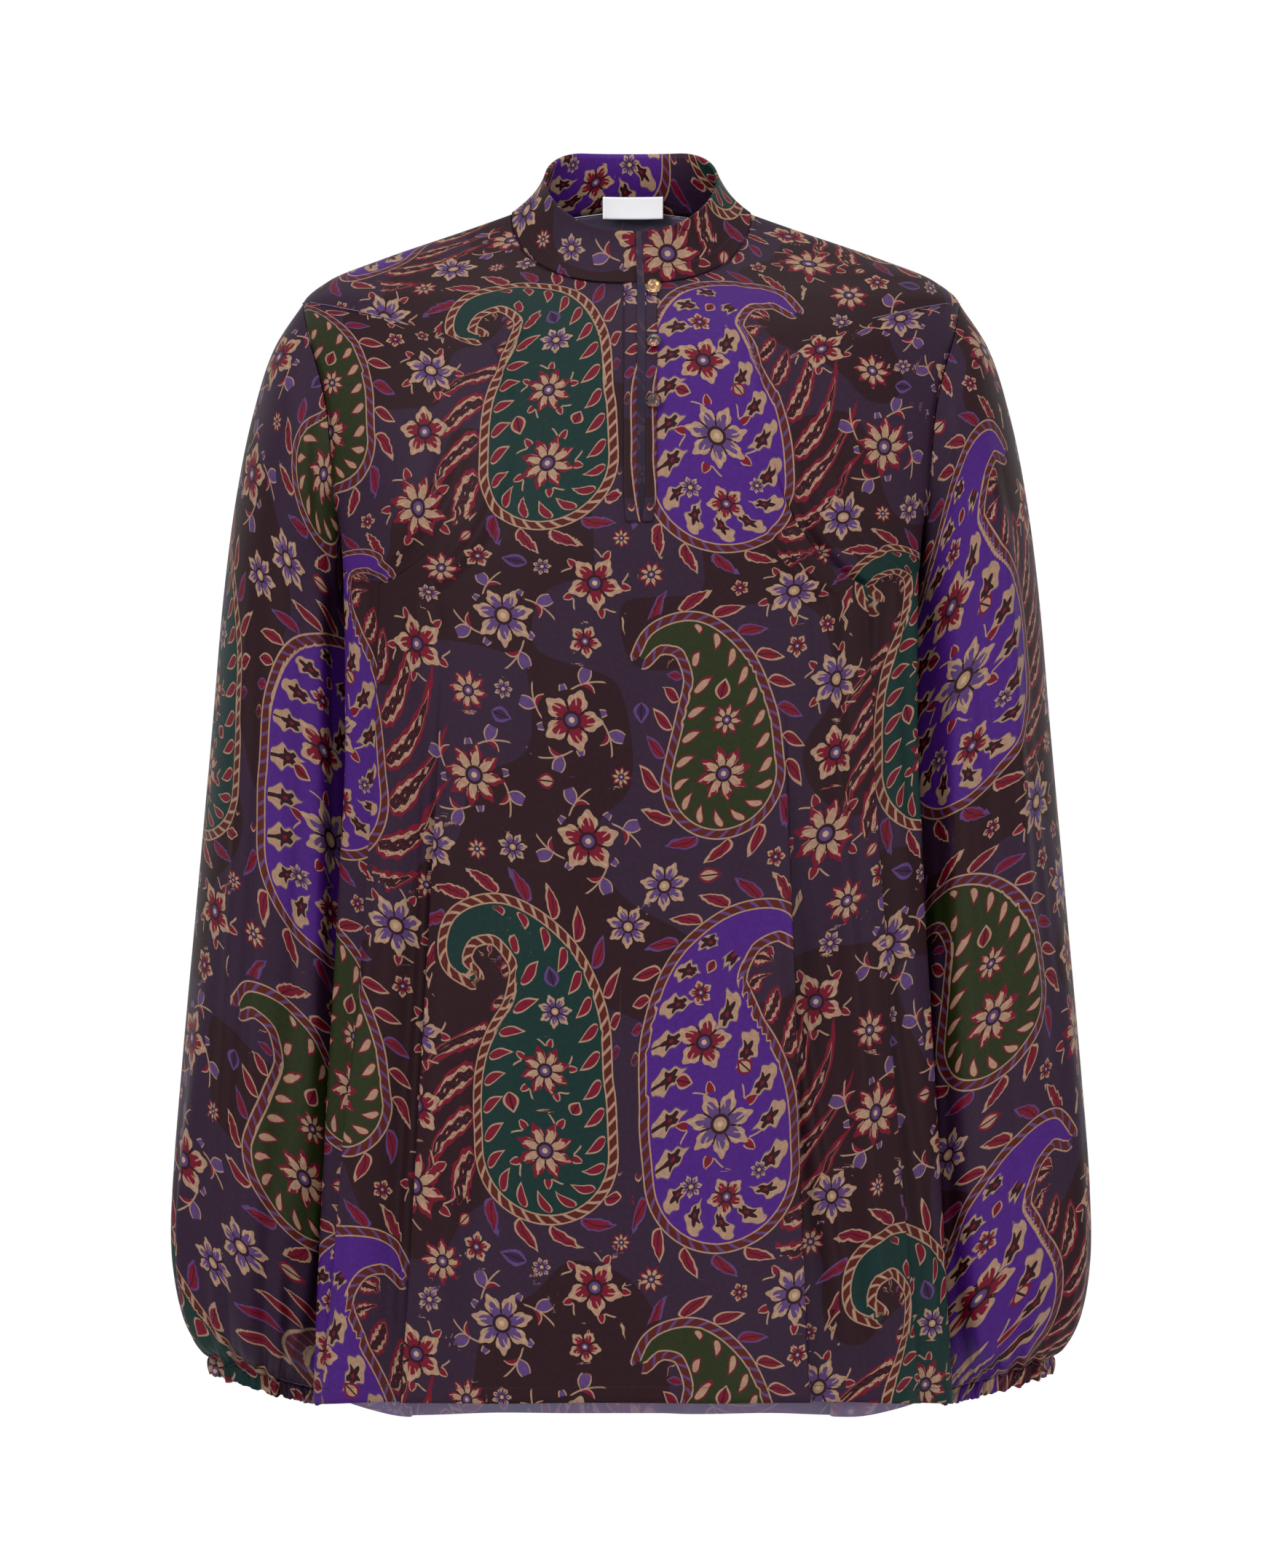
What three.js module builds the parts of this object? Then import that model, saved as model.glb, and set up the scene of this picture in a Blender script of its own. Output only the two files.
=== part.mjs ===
// A printed blouse, filled out as it is when worn: a loose body that falls straight to a narrow
// hem, a stand collar over an open neck slit with three small buttons, and full sleeves that
// hang at the sides and are gathered into elastic cuffs.
//
// Millimetres. +Z is up and +X is to the right of someone who faces the front, which looks
// along -Y. The origin lies between the shoulders, at the height where the shoulder seams
// meet the collar, which is where a wearer carries the blouse.
import * as THREE from 'three';

// Driving sizes
const WALL = 1.2; // cloth wall
const COLLAR_WALL = 2.0; // two layers and an interlining
const SEAM_GAP = 0.3; // between pieces that are sewn together
const LAID_GAP = 0.3; // between a panel and a strip that lies on it
const ARMHOLE_GAP = 0.9; // the sleeve turns off from the body here, so its wall needs more room

const NECK = { halfWidth: 74, halfDepth: 58, middle: 10, square: 2.25 }; // plan of the seam under the collar
const FRONT_HEM = -722;
const BACK_HEM = -748;
const SIDE_HEM = -733;

const SLIT = { x: 6, halfWidth: 2.5, end: -192, taper: 26 }; // the open neck slit
const ARMHOLE = { top: -52, bottom: -215, frontReach: 27, backReach: 25 }; // reaches in degrees

const COLLAR = {
  topHalfWidth: 54,
  topHalfDepth: 48,
  topMiddle: 7,
  square: 2.3,
  frontTop: -10.5,
  backTop: 44,
  climb: 150, // degrees round from the front over which the top edge climbs
  endGap: 5, // between the two ends, at the slit
  lift: 1.5, // of its foot above the neck seam
};

const BINDING = { width: 7.5, wall: 1.0, apart: 0.4 }; // strips along the slit
const BUTTON = { radius: 4.7, crown: 3.6, foot: 1.8, sides: 12, x: 13.5 };
// Each button's height, the room under its shank, and how far it is turned from the cloth's own
// direction to face straight ahead.
const BUTTONS = [
  { z: -47, clear: 1.7, ahead: 0.6 },
  { z: -82, clear: 0.4, ahead: 0 },
  { z: -119, clear: 0.4, ahead: 0 },
];
const LABEL = { x: 1, width: 38, height: 14, wall: 0.8, top: 17.5, curve: 51.2 };

const COLOURS = {
  print: 0x3b2b3c,
  printDark: 0x33242f,
  cuff: 0x3a2a38,
  button: 0xc9a35a,
  label: 0xf1f0ee,
};

// The body's level sections, from the neck down. wide is half the width and middle the place
// of the widest line; front and back are the depths from there. square is the exponent of the
// outline, 2 for an ellipse, and press is how far a hanging arm pushes the side in.
const SECTIONS = [
  { z: 13, wide: 52, middle: 10, front: 5, back: 56, square: 2.05, press: 0 },
  { z: 6, wide: 67, middle: 10, front: 8, back: 60, square: 2.05, press: 0 },
  { z: -5, wide: 97, middle: 10, front: 17, back: 67, square: 2.05, press: 0 },
  { z: -25, wide: 155, middle: 10, front: 36, back: 77, square: 2.1, press: 0 },
  { z: -38, wide: 187, middle: 10, front: 51, back: 84, square: 2.1, press: 0 },
  { z: -52, wide: 203, middle: 9, front: 67, back: 90, square: 2.15, press: 0 },
  { z: -80, wide: 209, middle: 6, front: 87, back: 98, square: 2.2, press: 0 },
  { z: -130, wide: 205, middle: 3, front: 109, back: 107, square: 2.3, press: 4 },
  { z: -215, wide: 193, middle: 0, front: 129, back: 112, square: 2.4, press: 32 },
  { z: -320, wide: 191, middle: 0, front: 131, back: 112, square: 2.5, press: 39 },
  { z: -420, wide: 196, middle: 0, front: 130, back: 114, square: 2.5, press: 44 },
  { z: -560, wide: 205, middle: 0, front: 131, back: 117, square: 2.5, press: 50 },
  { z: -740, wide: 216, middle: 0, front: 134, back: 122, square: 2.5, press: 57 },
];

// The span of the pressed side, in degrees round from the centre front.
const PRESS_SPAN = { start: 62, full: 82, ease: 102, end: 134 };

// Hanging folds. head and foot are the places across the panel, -1 and 1 being its side edges,
// of the fold's edge at the height where it starts and at the hem. The cloth
// stands out up to the fold's edge and then drops back by depth within edge millimetres; it
// comes forward again over run millimetres. outward is the side that the drop is on. The fold
// starts at top, is full at full, and reaches the hem.
const FRONT_FOLDS = [
  { head: -0.47, foot: -0.41, outward: -1, top: -270, full: -480, depth: 15, edge: 5, run: 66 },
  { head: 0.335, foot: 0.28, outward: 1, top: -280, full: -470, depth: 13, edge: 5, run: 74 },
  { head: 0.66, foot: 0.57, outward: 1, top: -130, full: -230, depth: 6, edge: 5, run: 34 },
  { head: -0.72, foot: -0.64, outward: -1, top: -180, full: -290, depth: 5, edge: 7, run: 40 },
];
const BACK_FOLDS = [
  { head: -0.42, foot: -0.4, outward: -1, top: -190, full: -420, depth: 12, edge: 8, run: 70 },
  { head: 0.38, foot: 0.35, outward: 1, top: -220, full: -450, depth: 13, edge: 8, run: 72 },
  { head: 0.03, foot: 0.05, outward: 1, top: -330, full: -560, depth: 7, edge: 12, run: 60 },
];

// Soft flutes that open towards the hem: their crest, their half width across the panel, how
// far they stand out at the hem, and the height where they start.
const FRONT_FLUTES = [
  { at: -0.2, half: 0.15, out: 7, top: -330 },
  { at: 0.1, half: 0.14, out: 6, top: -380 },
  { at: -0.6, half: 0.1, out: 5, top: -260 },
  { at: 0.47, half: 0.1, out: 6, top: -300 },
];
const BACK_FLUTES = [
  { at: -0.2, half: 0.14, out: 9, top: -260 },
  { at: 0.2, half: 0.13, out: 8, top: -300 },
  { at: 0.58, half: 0.1, out: 6, top: -280 },
  { at: -0.6, half: 0.1, out: 6, top: -280 },
];

// The sleeve's rings below the armhole: the outer and the inner end of each ring as seen from
// the front, the middle of its depth and half its depth. Round the shoulder they fan out from
// the armpit.
const SLEEVE_RINGS = [
  { outX: 221, outZ: -80, inX: 165, inZ: -223, middle: 12, depth: 66 },
  { outX: 234, outZ: -120, inX: 166, inZ: -233, middle: 13, depth: 67 },
  { outX: 244, outZ: -168, inX: 166, inZ: -247, middle: 14, depth: 66 },
  { outX: 252, outZ: -228, inX: 165, inZ: -274, middle: 14, depth: 65 },
  { outX: 260, outZ: -320, inX: 162, inZ: -338, middle: 14, depth: 64 },
  { outX: 269, outZ: -420, inX: 160, inZ: -430, middle: 14, depth: 65 },
  { outX: 278, outZ: -520, inX: 160, inZ: -522, middle: 13, depth: 67 },
  { outX: 284, outZ: -600, inX: 163, inZ: -600, middle: 12, depth: 68 },
  { outX: 284, outZ: -645, inX: 168, inZ: -648, middle: 11, depth: 66 },
  { outX: 277, outZ: -680, inX: 176, inZ: -686, middle: 10, depth: 56 },
  { outX: 267, outZ: -697, inX: 187, inZ: -711, middle: 9, depth: 42 },
  { outX: 261, outZ: -703, inX: 193, inZ: -723, middle: 8, depth: 29 },
];
const CUFF_FOOT = { outX: 259, outZ: -713, inX: 195, inZ: -734, middle: 8, depth: 29 };
const UNDERARM = { start: 90, full: 140 }; // degrees round the armhole from its top
const GATHERS = { waves: 22, height: 2.6, start: 0.8 }; // start is a share of the sleeve's length
const CUFF_LEVELS = 2;

// Folds that hang down a sleeve: their place round it in degrees (0 outside, 90 in front),
// half their width, how far they stand out, and where they start and end along the sleeve.
const SLEEVE_FOLDS = {
  right: [
    { at: 62, half: 17, out: 7, start: 0.12, end: 0.62 },
    { at: 104, half: 15, out: 6, start: 0.3, end: 0.95 },
    { at: 30, half: 15, out: 4, start: 0.45, end: 0.97 },
    { at: 250, half: 20, out: 6, start: 0.15, end: 0.9 },
    { at: 310, half: 18, out: 5, start: 0.3, end: 0.95 },
  ],
  left: [
    { at: 78, half: 16, out: 6, start: 0.4, end: 0.97 },
    { at: 112, half: 14, out: 5, start: 0.15, end: 0.7 },
    { at: 36, half: 15, out: 5, start: 0.5, end: 0.97 },
    { at: 244, half: 20, out: 6, start: 0.15, end: 0.9 },
    { at: 306, half: 18, out: 5, start: 0.3, end: 0.95 },
  ],
};

// Columns and rows of the pieces' sheets
const FRONT_HALF_COLUMNS = 18;
const BACK_HALF_COLUMNS = 13;
const ROWS = { shoulder: 7, armhole: 11, side: 12 };
const SLIT_ROWS = 14;
const SLEEVE_ROWS = 15;
const COLLAR_COLUMNS = 36;
const COLLAR_ROWS = 2;

const radians = THREE.MathUtils.degToRad;
const degrees = THREE.MathUtils.radToDeg;
const mix = THREE.MathUtils.lerp;
const smooth = (x, low, high) => THREE.MathUtils.smoothstep(x, low, high);

// A smooth curve through one column of a table whose rows run down in z, with no overshoot.
function tableValue(rows, key, z) {
  const last = rows.length - 1;
  if (z >= rows[0].z) return rows[0][key];
  if (z <= rows[last].z) return rows[last][key];
  const i = rows.findIndex((row) => row.z <= z) - 1;
  const slope = (k) => (rows[k + 1][key] - rows[k][key]) / (rows[k + 1].z - rows[k].z);
  const tangent = (k) => {
    if (k === 0) return slope(0);
    if (k === last) return slope(last - 1);
    const before = slope(k - 1);
    const after = slope(k);
    return before * after <= 0 ? 0 : (2 * before * after) / (before + after);
  };
  const span = rows[i + 1].z - rows[i].z;
  const s = (z - rows[i].z) / span;
  const rise = s * s * (3 - 2 * s);
  return (
    mix(rows[i][key], rows[i + 1][key], rise) +
    span * s * (1 - s) * ((1 - s) * tangent(i) - s * tangent(i + 1))
  );
}

function section(z) {
  const keys = ['wide', 'middle', 'front', 'back', 'square', 'press'];
  return Object.fromEntries(keys.map((key) => [key, tableValue(SECTIONS, key, z)]));
}

const signedPower = (value, power) => Math.sign(value) * Math.abs(value) ** power;

// The sine and the cosine of a squared circle, 2 being round.
const squaredSin = (angle, square) => signedPower(Math.sin(radians(angle)), 2 / square);
const squaredCos = (angle, square) => signedPower(Math.cos(radians(angle)), 2 / square);

// A point of the body at angle t round from the centre front, in degrees, moved out by out.
function bodyPoint(t, z, out = 0) {
  const s = section(z);
  const across = squaredSin(t, s.square);
  const along = squaredCos(t, s.square);
  const depth = along > 0 ? s.front : s.back;
  const normal = new THREE.Vector2(
    signedPower(across, s.square - 1) / s.wide,
    -signedPower(along, s.square - 1) / depth,
  ).normalize();
  const round = Math.abs(((t + 540) % 360) - 180);
  const pressed =
    s.press *
    smooth(round, PRESS_SPAN.start, PRESS_SPAN.full) *
    (1 - smooth(round, PRESS_SPAN.ease, PRESS_SPAN.end));
  const shift = out - pressed;
  return new THREE.Vector3(
    s.wide * across + normal.x * shift,
    s.middle - depth * along + normal.y * shift,
    z,
  );
}

// The way out of the body at an angle and a height.
function bodyNormal(t, z) {
  const step = 0.5;
  const round = bodyPoint(t + step, z).sub(bodyPoint(t - step, z));
  const up = bodyPoint(t, z + step).sub(bodyPoint(t, z - step));
  return round.cross(up).normalize();
}

// The angle at which the body has a given x at height z, on the front.
function angleAtX(x, z) {
  const s = section(z);
  return degrees(Math.asin(signedPower(x / s.wide, s.square / 2)));
}

// The plan angle of the neck seam at a given x near the front.
const neckPlan = (x) => degrees(Math.asin(signedPower(x / NECK.halfWidth, NECK.square / 2)));

// The place on the body, as an angle and a height, of the neck seam at a plan angle.
function neckPlace(plan) {
  const x = NECK.halfWidth * squaredSin(plan, NECK.square);
  const y = NECK.middle - NECK.halfDepth * squaredCos(plan, NECK.square);
  let low = -120;
  let high = 11;
  for (let i = 0; i < 40; i++) {
    const z = (low + high) / 2;
    const s = section(z);
    const depth = y < s.middle ? s.front : s.back;
    const reach = Math.abs(x / s.wide) ** s.square + Math.abs((y - s.middle) / depth) ** s.square;
    if (reach > 1) high = z;
    else low = z;
  }
  const z = (low + high) / 2;
  const s = section(z);
  const fromFront = degrees(Math.asin(Math.min(1, Math.abs(x / s.wide)) ** (s.square / 2)));
  const t = y < s.middle ? fromFront : 180 - fromFront;
  return { t: plan < 0 ? -t : t, z };
}

// The armhole on the right of the body: turn is 0 at the shoulder and 180 at the armpit.
function armholePlace(turn, reach) {
  const middle = (ARMHOLE.top + ARMHOLE.bottom) / 2;
  const half = (ARMHOLE.top - ARMHOLE.bottom) / 2;
  return {
    t: 90 + reach * Math.sin(radians(turn)),
    z: middle + half * Math.cos(radians(turn)),
  };
}

const ROW_COUNT = ROWS.shoulder + ROWS.armhole + ROWS.side;
const TIP = ROWS.shoulder / ROW_COUNT;
const PIT = (ROWS.shoulder + ROWS.armhole) / ROW_COUNT;

// Heights down the centre of a panel at the rows that meet the shoulder's tip and the armpit,
// which keep the rows nearly level.
const CENTRE_HEIGHTS = { front: { tip: -92, pit: -252 }, back: { tip: -68, pit: -238 } };

// The height at share v down a centre line, through a list of rows with their heights.
function centreHeight(stops, v) {
  const row = v * ROW_COUNT;
  const i = Math.min(stops.length - 2, stops.findLastIndex((stop) => stop.row <= row + 1e-9));
  const span = stops[i + 1].row - stops[i].row;
  return mix(stops[i].z, stops[i + 1].z, (row - stops[i].row) / span);
}

// The side edge of a front or back panel: down the shoulder seam, round the armhole and down
// the side seam.
function edgePlace(v, reach) {
  const neck = neckPlace(90);
  if (v < TIP) return { t: 90, z: mix(neck.z, ARMHOLE.top, v / TIP) };
  if (v < PIT) return armholePlace((180 * (v - TIP)) / (PIT - TIP), reach);
  return { t: 90, z: mix(ARMHOLE.bottom, SIDE_HEM, (v - PIT) / (1 - PIT)) };
}

const slitHalfWidth = (z) => SLIT.halfWidth * Math.sqrt(smooth(z, SLIT.end, SLIT.end + SLIT.taper));

// Blends the four edges of half a panel. u runs from the centre to the side and v from the neck
// to the hem; places are angles and heights on the body.
function blendEdges(u, v, top, bottom, centre, edge) {
  const blend = (key) =>
    (1 - v) * top(u)[key] +
    v * bottom(u)[key] +
    (1 - u) * centre(v)[key] +
    u * edge(v)[key] -
    (1 - u) * (1 - v) * top(0)[key] -
    u * (1 - v) * top(1)[key] -
    (1 - u) * v * bottom(0)[key] -
    u * v * bottom(1)[key];
  return { t: blend('t'), z: blend('z') };
}

// A place on the front. side is -1 or 1 and u runs from the slit to the side.
function frontPlace(side, u, v) {
  const middleT = (z) => side * angleAtX(SLIT.x + side * slitHalfWidth(z), z);
  const firstPlan = neckPlan(side * (SLIT.x + side * SLIT.halfWidth));
  const top = (a) => neckPlace(mix(firstPlan, 90, a));
  const stops = [
    { row: 0, z: top(0).z },
    { row: ROWS.shoulder, z: CENTRE_HEIGHTS.front.tip },
    { row: SLIT_ROWS, z: SLIT.end },
    { row: ROWS.shoulder + ROWS.armhole, z: CENTRE_HEIGHTS.front.pit },
    { row: ROW_COUNT, z: FRONT_HEM },
  ];
  const centre = (b) => {
    const z = centreHeight(stops, b);
    return { t: middleT(z), z };
  };
  const bottom = (a) => ({
    t: mix(centre(1).t, 90, a),
    z: mix(FRONT_HEM, SIDE_HEM, a * a),
  });
  const edge = (b) => edgePlace(b, -ARMHOLE.frontReach);
  const place = blendEdges(u, v, top, bottom, centre, edge);
  if (u === 0) place.t = middleT(place.z);
  return { t: side * place.t, z: place.z };
}

// A place on the back, where t runs from 90 at the sides to 180 at the centre.
function backPlace(side, u, v) {
  const top = (a) => neckPlace(mix(180, 90, a));
  const stops = [
    { row: 0, z: top(0).z },
    { row: ROWS.shoulder, z: CENTRE_HEIGHTS.back.tip },
    { row: ROWS.shoulder + ROWS.armhole, z: CENTRE_HEIGHTS.back.pit },
    { row: ROW_COUNT, z: BACK_HEM },
  ];
  const centre = (b) => ({ t: 180, z: centreHeight(stops, b) });
  const bottom = (a) => ({ t: mix(180, 90, a), z: mix(BACK_HEM, SIDE_HEM, a ** 4) });
  const edge = (b) => edgePlace(b, ARMHOLE.backReach);
  const place = blendEdges(u, v, top, bottom, centre, edge);
  return { t: side * place.t, z: place.z };
}

const foldAt = (fold, z) => mix(fold.head, fold.foot, smooth(-z, -fold.top, -SIDE_HEM));

// How far the folds and flutes move a panel's cloth out, at u from -1 to 1 across it.
function drape(u, z, folds, flutes) {
  const halfPanel = 300; // millimetres from the centre to the side, round the body
  const towardEdge = 1 - smooth(Math.abs(u), 0.86, 0.98);
  let out = 0;
  for (const fold of folds) {
    const beyond = (u - foldAt(fold, z)) * fold.outward * halfPanel;
    const drop = smooth(beyond, -fold.edge / 2, fold.edge / 2);
    const back = 1 - smooth(beyond, fold.edge, fold.run);
    out -= fold.depth * drop * back * smooth(-z, -fold.top, -fold.full);
  }
  for (const flute of flutes) {
    const near = Math.max(0, 1 - Math.abs((u - flute.at) / flute.half));
    out += flute.out * smooth(near, 0, 1) * smooth(-z, -flute.top, -FRONT_HEM);
  }
  return out * towardEdge;
}

const frontPoint = (side, u, v) => {
  const place = frontPlace(side, u, v);
  return bodyPoint(place.t, place.z, drape(side * u, place.z, FRONT_FOLDS, FRONT_FLUTES));
};
const backPoint = (side, u, v) => {
  const place = backPlace(side, u, v);
  return bodyPoint(place.t, place.z, drape(side * u, place.z, BACK_FOLDS, BACK_FLUTES));
};

// An open sheet of quads, which thicken() makes into a wall.
class Sheet {
  points = [];
  quads = [];
  seams = new Map(); // normals of the points that lie on a seam

  add(point, seamNormal) {
    const at = this.points.push(point) - 1;
    if (seamNormal) this.seams.set(at, seamNormal);
    return at;
  }

  // Rows of point numbers, joined row to row. Each row runs to the right as seen from outside
  // while the rows run down; ring joins a row's end to its start.
  join(rows, ring = false) {
    for (let j = 0; j + 1 < rows.length; j++) {
      const count = rows[j].length;
      for (let i = 0; i < (ring ? count : count - 1); i++) {
        const next = (i + 1) % count;
        this.quads.push([rows[j + 1][i], rows[j + 1][next], rows[j][next], rows[j][i]]);
      }
    }
    return this;
  }

  normals() {
    const normals = this.points.map(() => new THREE.Vector3());
    for (const [a, b, c, d] of this.quads) {
      const first = this.points[c].clone().sub(this.points[a]);
      const second = this.points[d].clone().sub(this.points[b]);
      const area = first.cross(second);
      for (const k of [a, b, c, d]) normals[k].add(area);
    }
    return normals.map((normal, i) => this.seams.get(i) ?? normal.normalize());
  }
}

// A closed wall whose outer side is the sheet, lifted by lift, and whose inner side is thick
// further in.
function thicken(sheet, thick, lift = 0) {
  const count = sheet.points.length;
  const normals = sheet.normals();
  const positions = [
    ...sheet.points.map((point, i) => point.clone().addScaledVector(normals[i], lift)),
    ...sheet.points.map((point, i) => point.clone().addScaledVector(normals[i], lift - thick)),
  ];
  const faces = [];
  const edges = new Map();
  for (const [a, b, c, d] of sheet.quads) {
    const short = positions[a].distanceTo(positions[c]) < positions[b].distanceTo(positions[d]);
    const halves = short ? [[a, b, c], [a, c, d]] : [[a, b, d], [b, c, d]];
    for (const [p, q, r] of halves) {
      faces.push([p, q, r], [r + count, q + count, p + count]);
    }
    for (const [from, to] of [[a, b], [b, c], [c, d], [d, a]]) edges.set(`${from},${to}`, [from, to]);
  }
  for (const [from, to] of edges.values()) {
    if (edges.has(`${to},${from}`)) continue;
    faces.push([to, from, from + count], [to, from + count, to + count]);
  }
  const geometry = new THREE.BufferGeometry();
  geometry.setAttribute(
    'position',
    new THREE.Float32BufferAttribute(positions.flatMap((p) => p.toArray()), 3),
  );
  geometry.setIndex(faces.flat());
  return geometry;
}

function material(colour, roughness = 0.6, metalness = 0) {
  return new THREE.MeshStandardMaterial({ color: colour, roughness, metalness });
}

function piece(name, geometry, colour, roughness, metalness) {
  geometry.computeVertexNormals();
  const mesh = new THREE.Mesh(geometry, material(colour, roughness, metalness));
  mesh.name = name;
  return mesh;
}

// Shares across half a panel from first to 1, closer together at the folds' edges, for a row
// whose middle is at z.
function sharesAcross(count, folds, side, first, z) {
  const steps = 400;
  const weight = (u) =>
    folds.reduce(
      (sum, fold) => sum + 5 * Math.exp(-(((side * u - foldAt(fold, z)) / 0.028) ** 2)),
      1,
    );
  const sums = [0];
  for (let i = 0; i < steps; i++) sums.push(sums[i] + weight(mix(first, 1, (i + 0.5) / steps)));
  const shares = [first];
  for (let k = 1; k < count; k++) {
    const wanted = (sums[steps] * k) / count;
    const i = sums.findIndex((sum) => sum > wanted) - 1;
    shares.push(mix(first, 1, (i + (wanted - sums[i]) / (sums[i + 1] - sums[i])) / steps));
  }
  return [...shares, 1];
}

function rowShares() {
  const spread = (from, to, count) =>
    Array.from({ length: count }, (_, k) => mix(from, to, k / count));
  return [
    ...spread(0, TIP, ROWS.shoulder),
    ...spread(TIP, PIT, ROWS.armhole),
    ...spread(PIT, 1, ROWS.side),
    1,
  ];
}

// The share of half a panel that a length takes up at its side edge or at its centre.
function shareOf(length, pointAt, side, v, from) {
  const probe = 0.01;
  const to = from === 1 ? 1 - probe : from + probe;
  return (length * probe) / pointAt(side, from, v).distanceTo(pointAt(side, to, v));
}

// Adds one row of half a panel to a sheet, from the centre or the slit to the side.
function addPanelRow(sheet, side, v, shares, pointAt, placeAt) {
  const edge = 1 - shareOf(0.5 * SEAM_GAP, pointAt, side, v, 1);
  const { t, z } = placeAt(side, 1, v);
  return shares.map((u, i) =>
    i === shares.length - 1
      ? sheet.add(pointAt(side, edge, v), bodyNormal(t, z))
      : sheet.add(pointAt(side, u, v)),
  );
}

// The front, and the strips beside its slit, which are made from the front's own points.
function frontSheets() {
  const sheet = new Sheet();
  const strips = { left: new Sheet(), right: new Sheet() };
  const stripRows = { left: [], right: [] };
  const rows = rowShares().map((v, j) => {
    const halves = [-1, 1].map((side) => {
      const first = shareOf(BINDING.width, frontPoint, side, v, 0);
      const { z } = frontPlace(side, 0.5, v);
      const shares = [0, ...sharesAcross(FRONT_HALF_COLUMNS - 1, FRONT_FOLDS, side, first, z)];
      return addPanelRow(sheet, side, v, shares, frontPoint, frontPlace);
    });
    if (j <= SLIT_ROWS) {
      [strips.left, strips.right].forEach((strip, k) => {
        const [near, far] = halves[k].slice(0, 2).map((at) => sheet.points[at]);
        const apart = Math.abs(near.x - SLIT.x);
        const inner = near.clone().lerp(far, Math.max(0, BINDING.apart - apart) / BINDING.width);
        const across = [inner, inner.clone().lerp(far, 0.5), far];
        const row = across.map((point) => strip.add(point.clone()));
        (k === 0 ? stripRows.left : stripRows.right).push(k === 0 ? row.reverse() : row);
      });
    }
    const [left, right] = halves;
    return [left.reverse(), j < SLIT_ROWS ? right : [left[left.length - 1], ...right.slice(1)]];
  });
  sheet.join(rows.map(([left]) => left));
  sheet.join(rows.map(([, right]) => right));
  strips.left.join(stripRows.left);
  strips.right.join(stripRows.right);
  return { sheet, strips };
}

function backSheet() {
  const sheet = new Sheet();
  const rows = rowShares().map((v) => {
    const [right, left] = [1, -1].map((side) => {
      const { z } = backPlace(side, 0.5, v);
      const shares = sharesAcross(BACK_HALF_COLUMNS, BACK_FOLDS, side, 0, z);
      return addPanelRow(sheet, side, v, shares, backPoint, backPlace);
    });
    return [...right.reverse(), ...left.slice(1)];
  });
  return sheet.join(rows);
}

// A point of one sleeve's ring: turn is 0 outside, 90 in front and 180 inside.
function ringPoint(ring, turn) {
  const c = Math.cos(radians(turn));
  const s = Math.sin(radians(turn));
  return new THREE.Vector3(
    mix(ring.inX, ring.outX, (1 + c) / 2),
    ring.middle - ring.depth * s,
    mix(ring.inZ, ring.outZ, (1 + c) / 2),
  );
}

// The armhole's edge and the way out of the body there. It runs straight between the front's
// and the back's rows, as their edges do.
function armholeEdge(turn) {
  const step = 180 / ROWS.armhole;
  const stop = Math.floor(turn / step + 1e-9);
  const [from, to] = [stop, stop + 1].map((k) => {
    const at = (k * step) % 360;
    const front = at <= 180;
    const reach = front ? -ARMHOLE.frontReach : ARMHOLE.backReach;
    const { t, z } = armholePlace(front ? at : 360 - at, reach);
    return { point: bodyPoint(t, z), normal: bodyNormal(t, z) };
  });
  const share = turn / step - stop;
  return {
    point: from.point.lerp(to.point, share),
    normal: from.normal.lerp(to.normal, share).normalize(),
  };
}

// The armhole's middle, which the sleeve's first ring is drawn in towards by the seam's gap.
function armholePoint(turn) {
  const { point, normal } = armholeEdge(turn);
  const middle = bodyPoint(90, (ARMHOLE.top + ARMHOLE.bottom) / 2);
  const inward = middle.sub(point);
  inward.addScaledVector(normal, -inward.dot(normal)).normalize();
  return point.addScaledVector(inward, ARMHOLE_GAP);
}

// The rings of a sleeve as points for one turn, from the armhole to the cuff.
const ringColumn = (turn) => [
  armholePoint(turn),
  ...SLEEVE_RINGS.map((ring) => ringPoint(ring, turn)),
];

// How far folds and gathers move the sleeve's cloth out at a turn and a share of its length.
function sleeveDrape(turn, share, folds) {
  let out = 0;
  for (const fold of folds) {
    const apart = Math.abs(((turn - fold.at + 540) % 360) - 180);
    const near = Math.max(0, 1 - apart / fold.half);
    const length = smooth(share, fold.start, fold.start + 0.2) * (1 - smooth(share, fold.end - 0.1, fold.end));
    out += fold.out * smooth(near, 0, 1) * length;
  }
  const gathered = smooth(share, GATHERS.start, 1);
  return out + GATHERS.height * gathered * Math.cos(radians(GATHERS.waves * turn));
}

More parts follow.
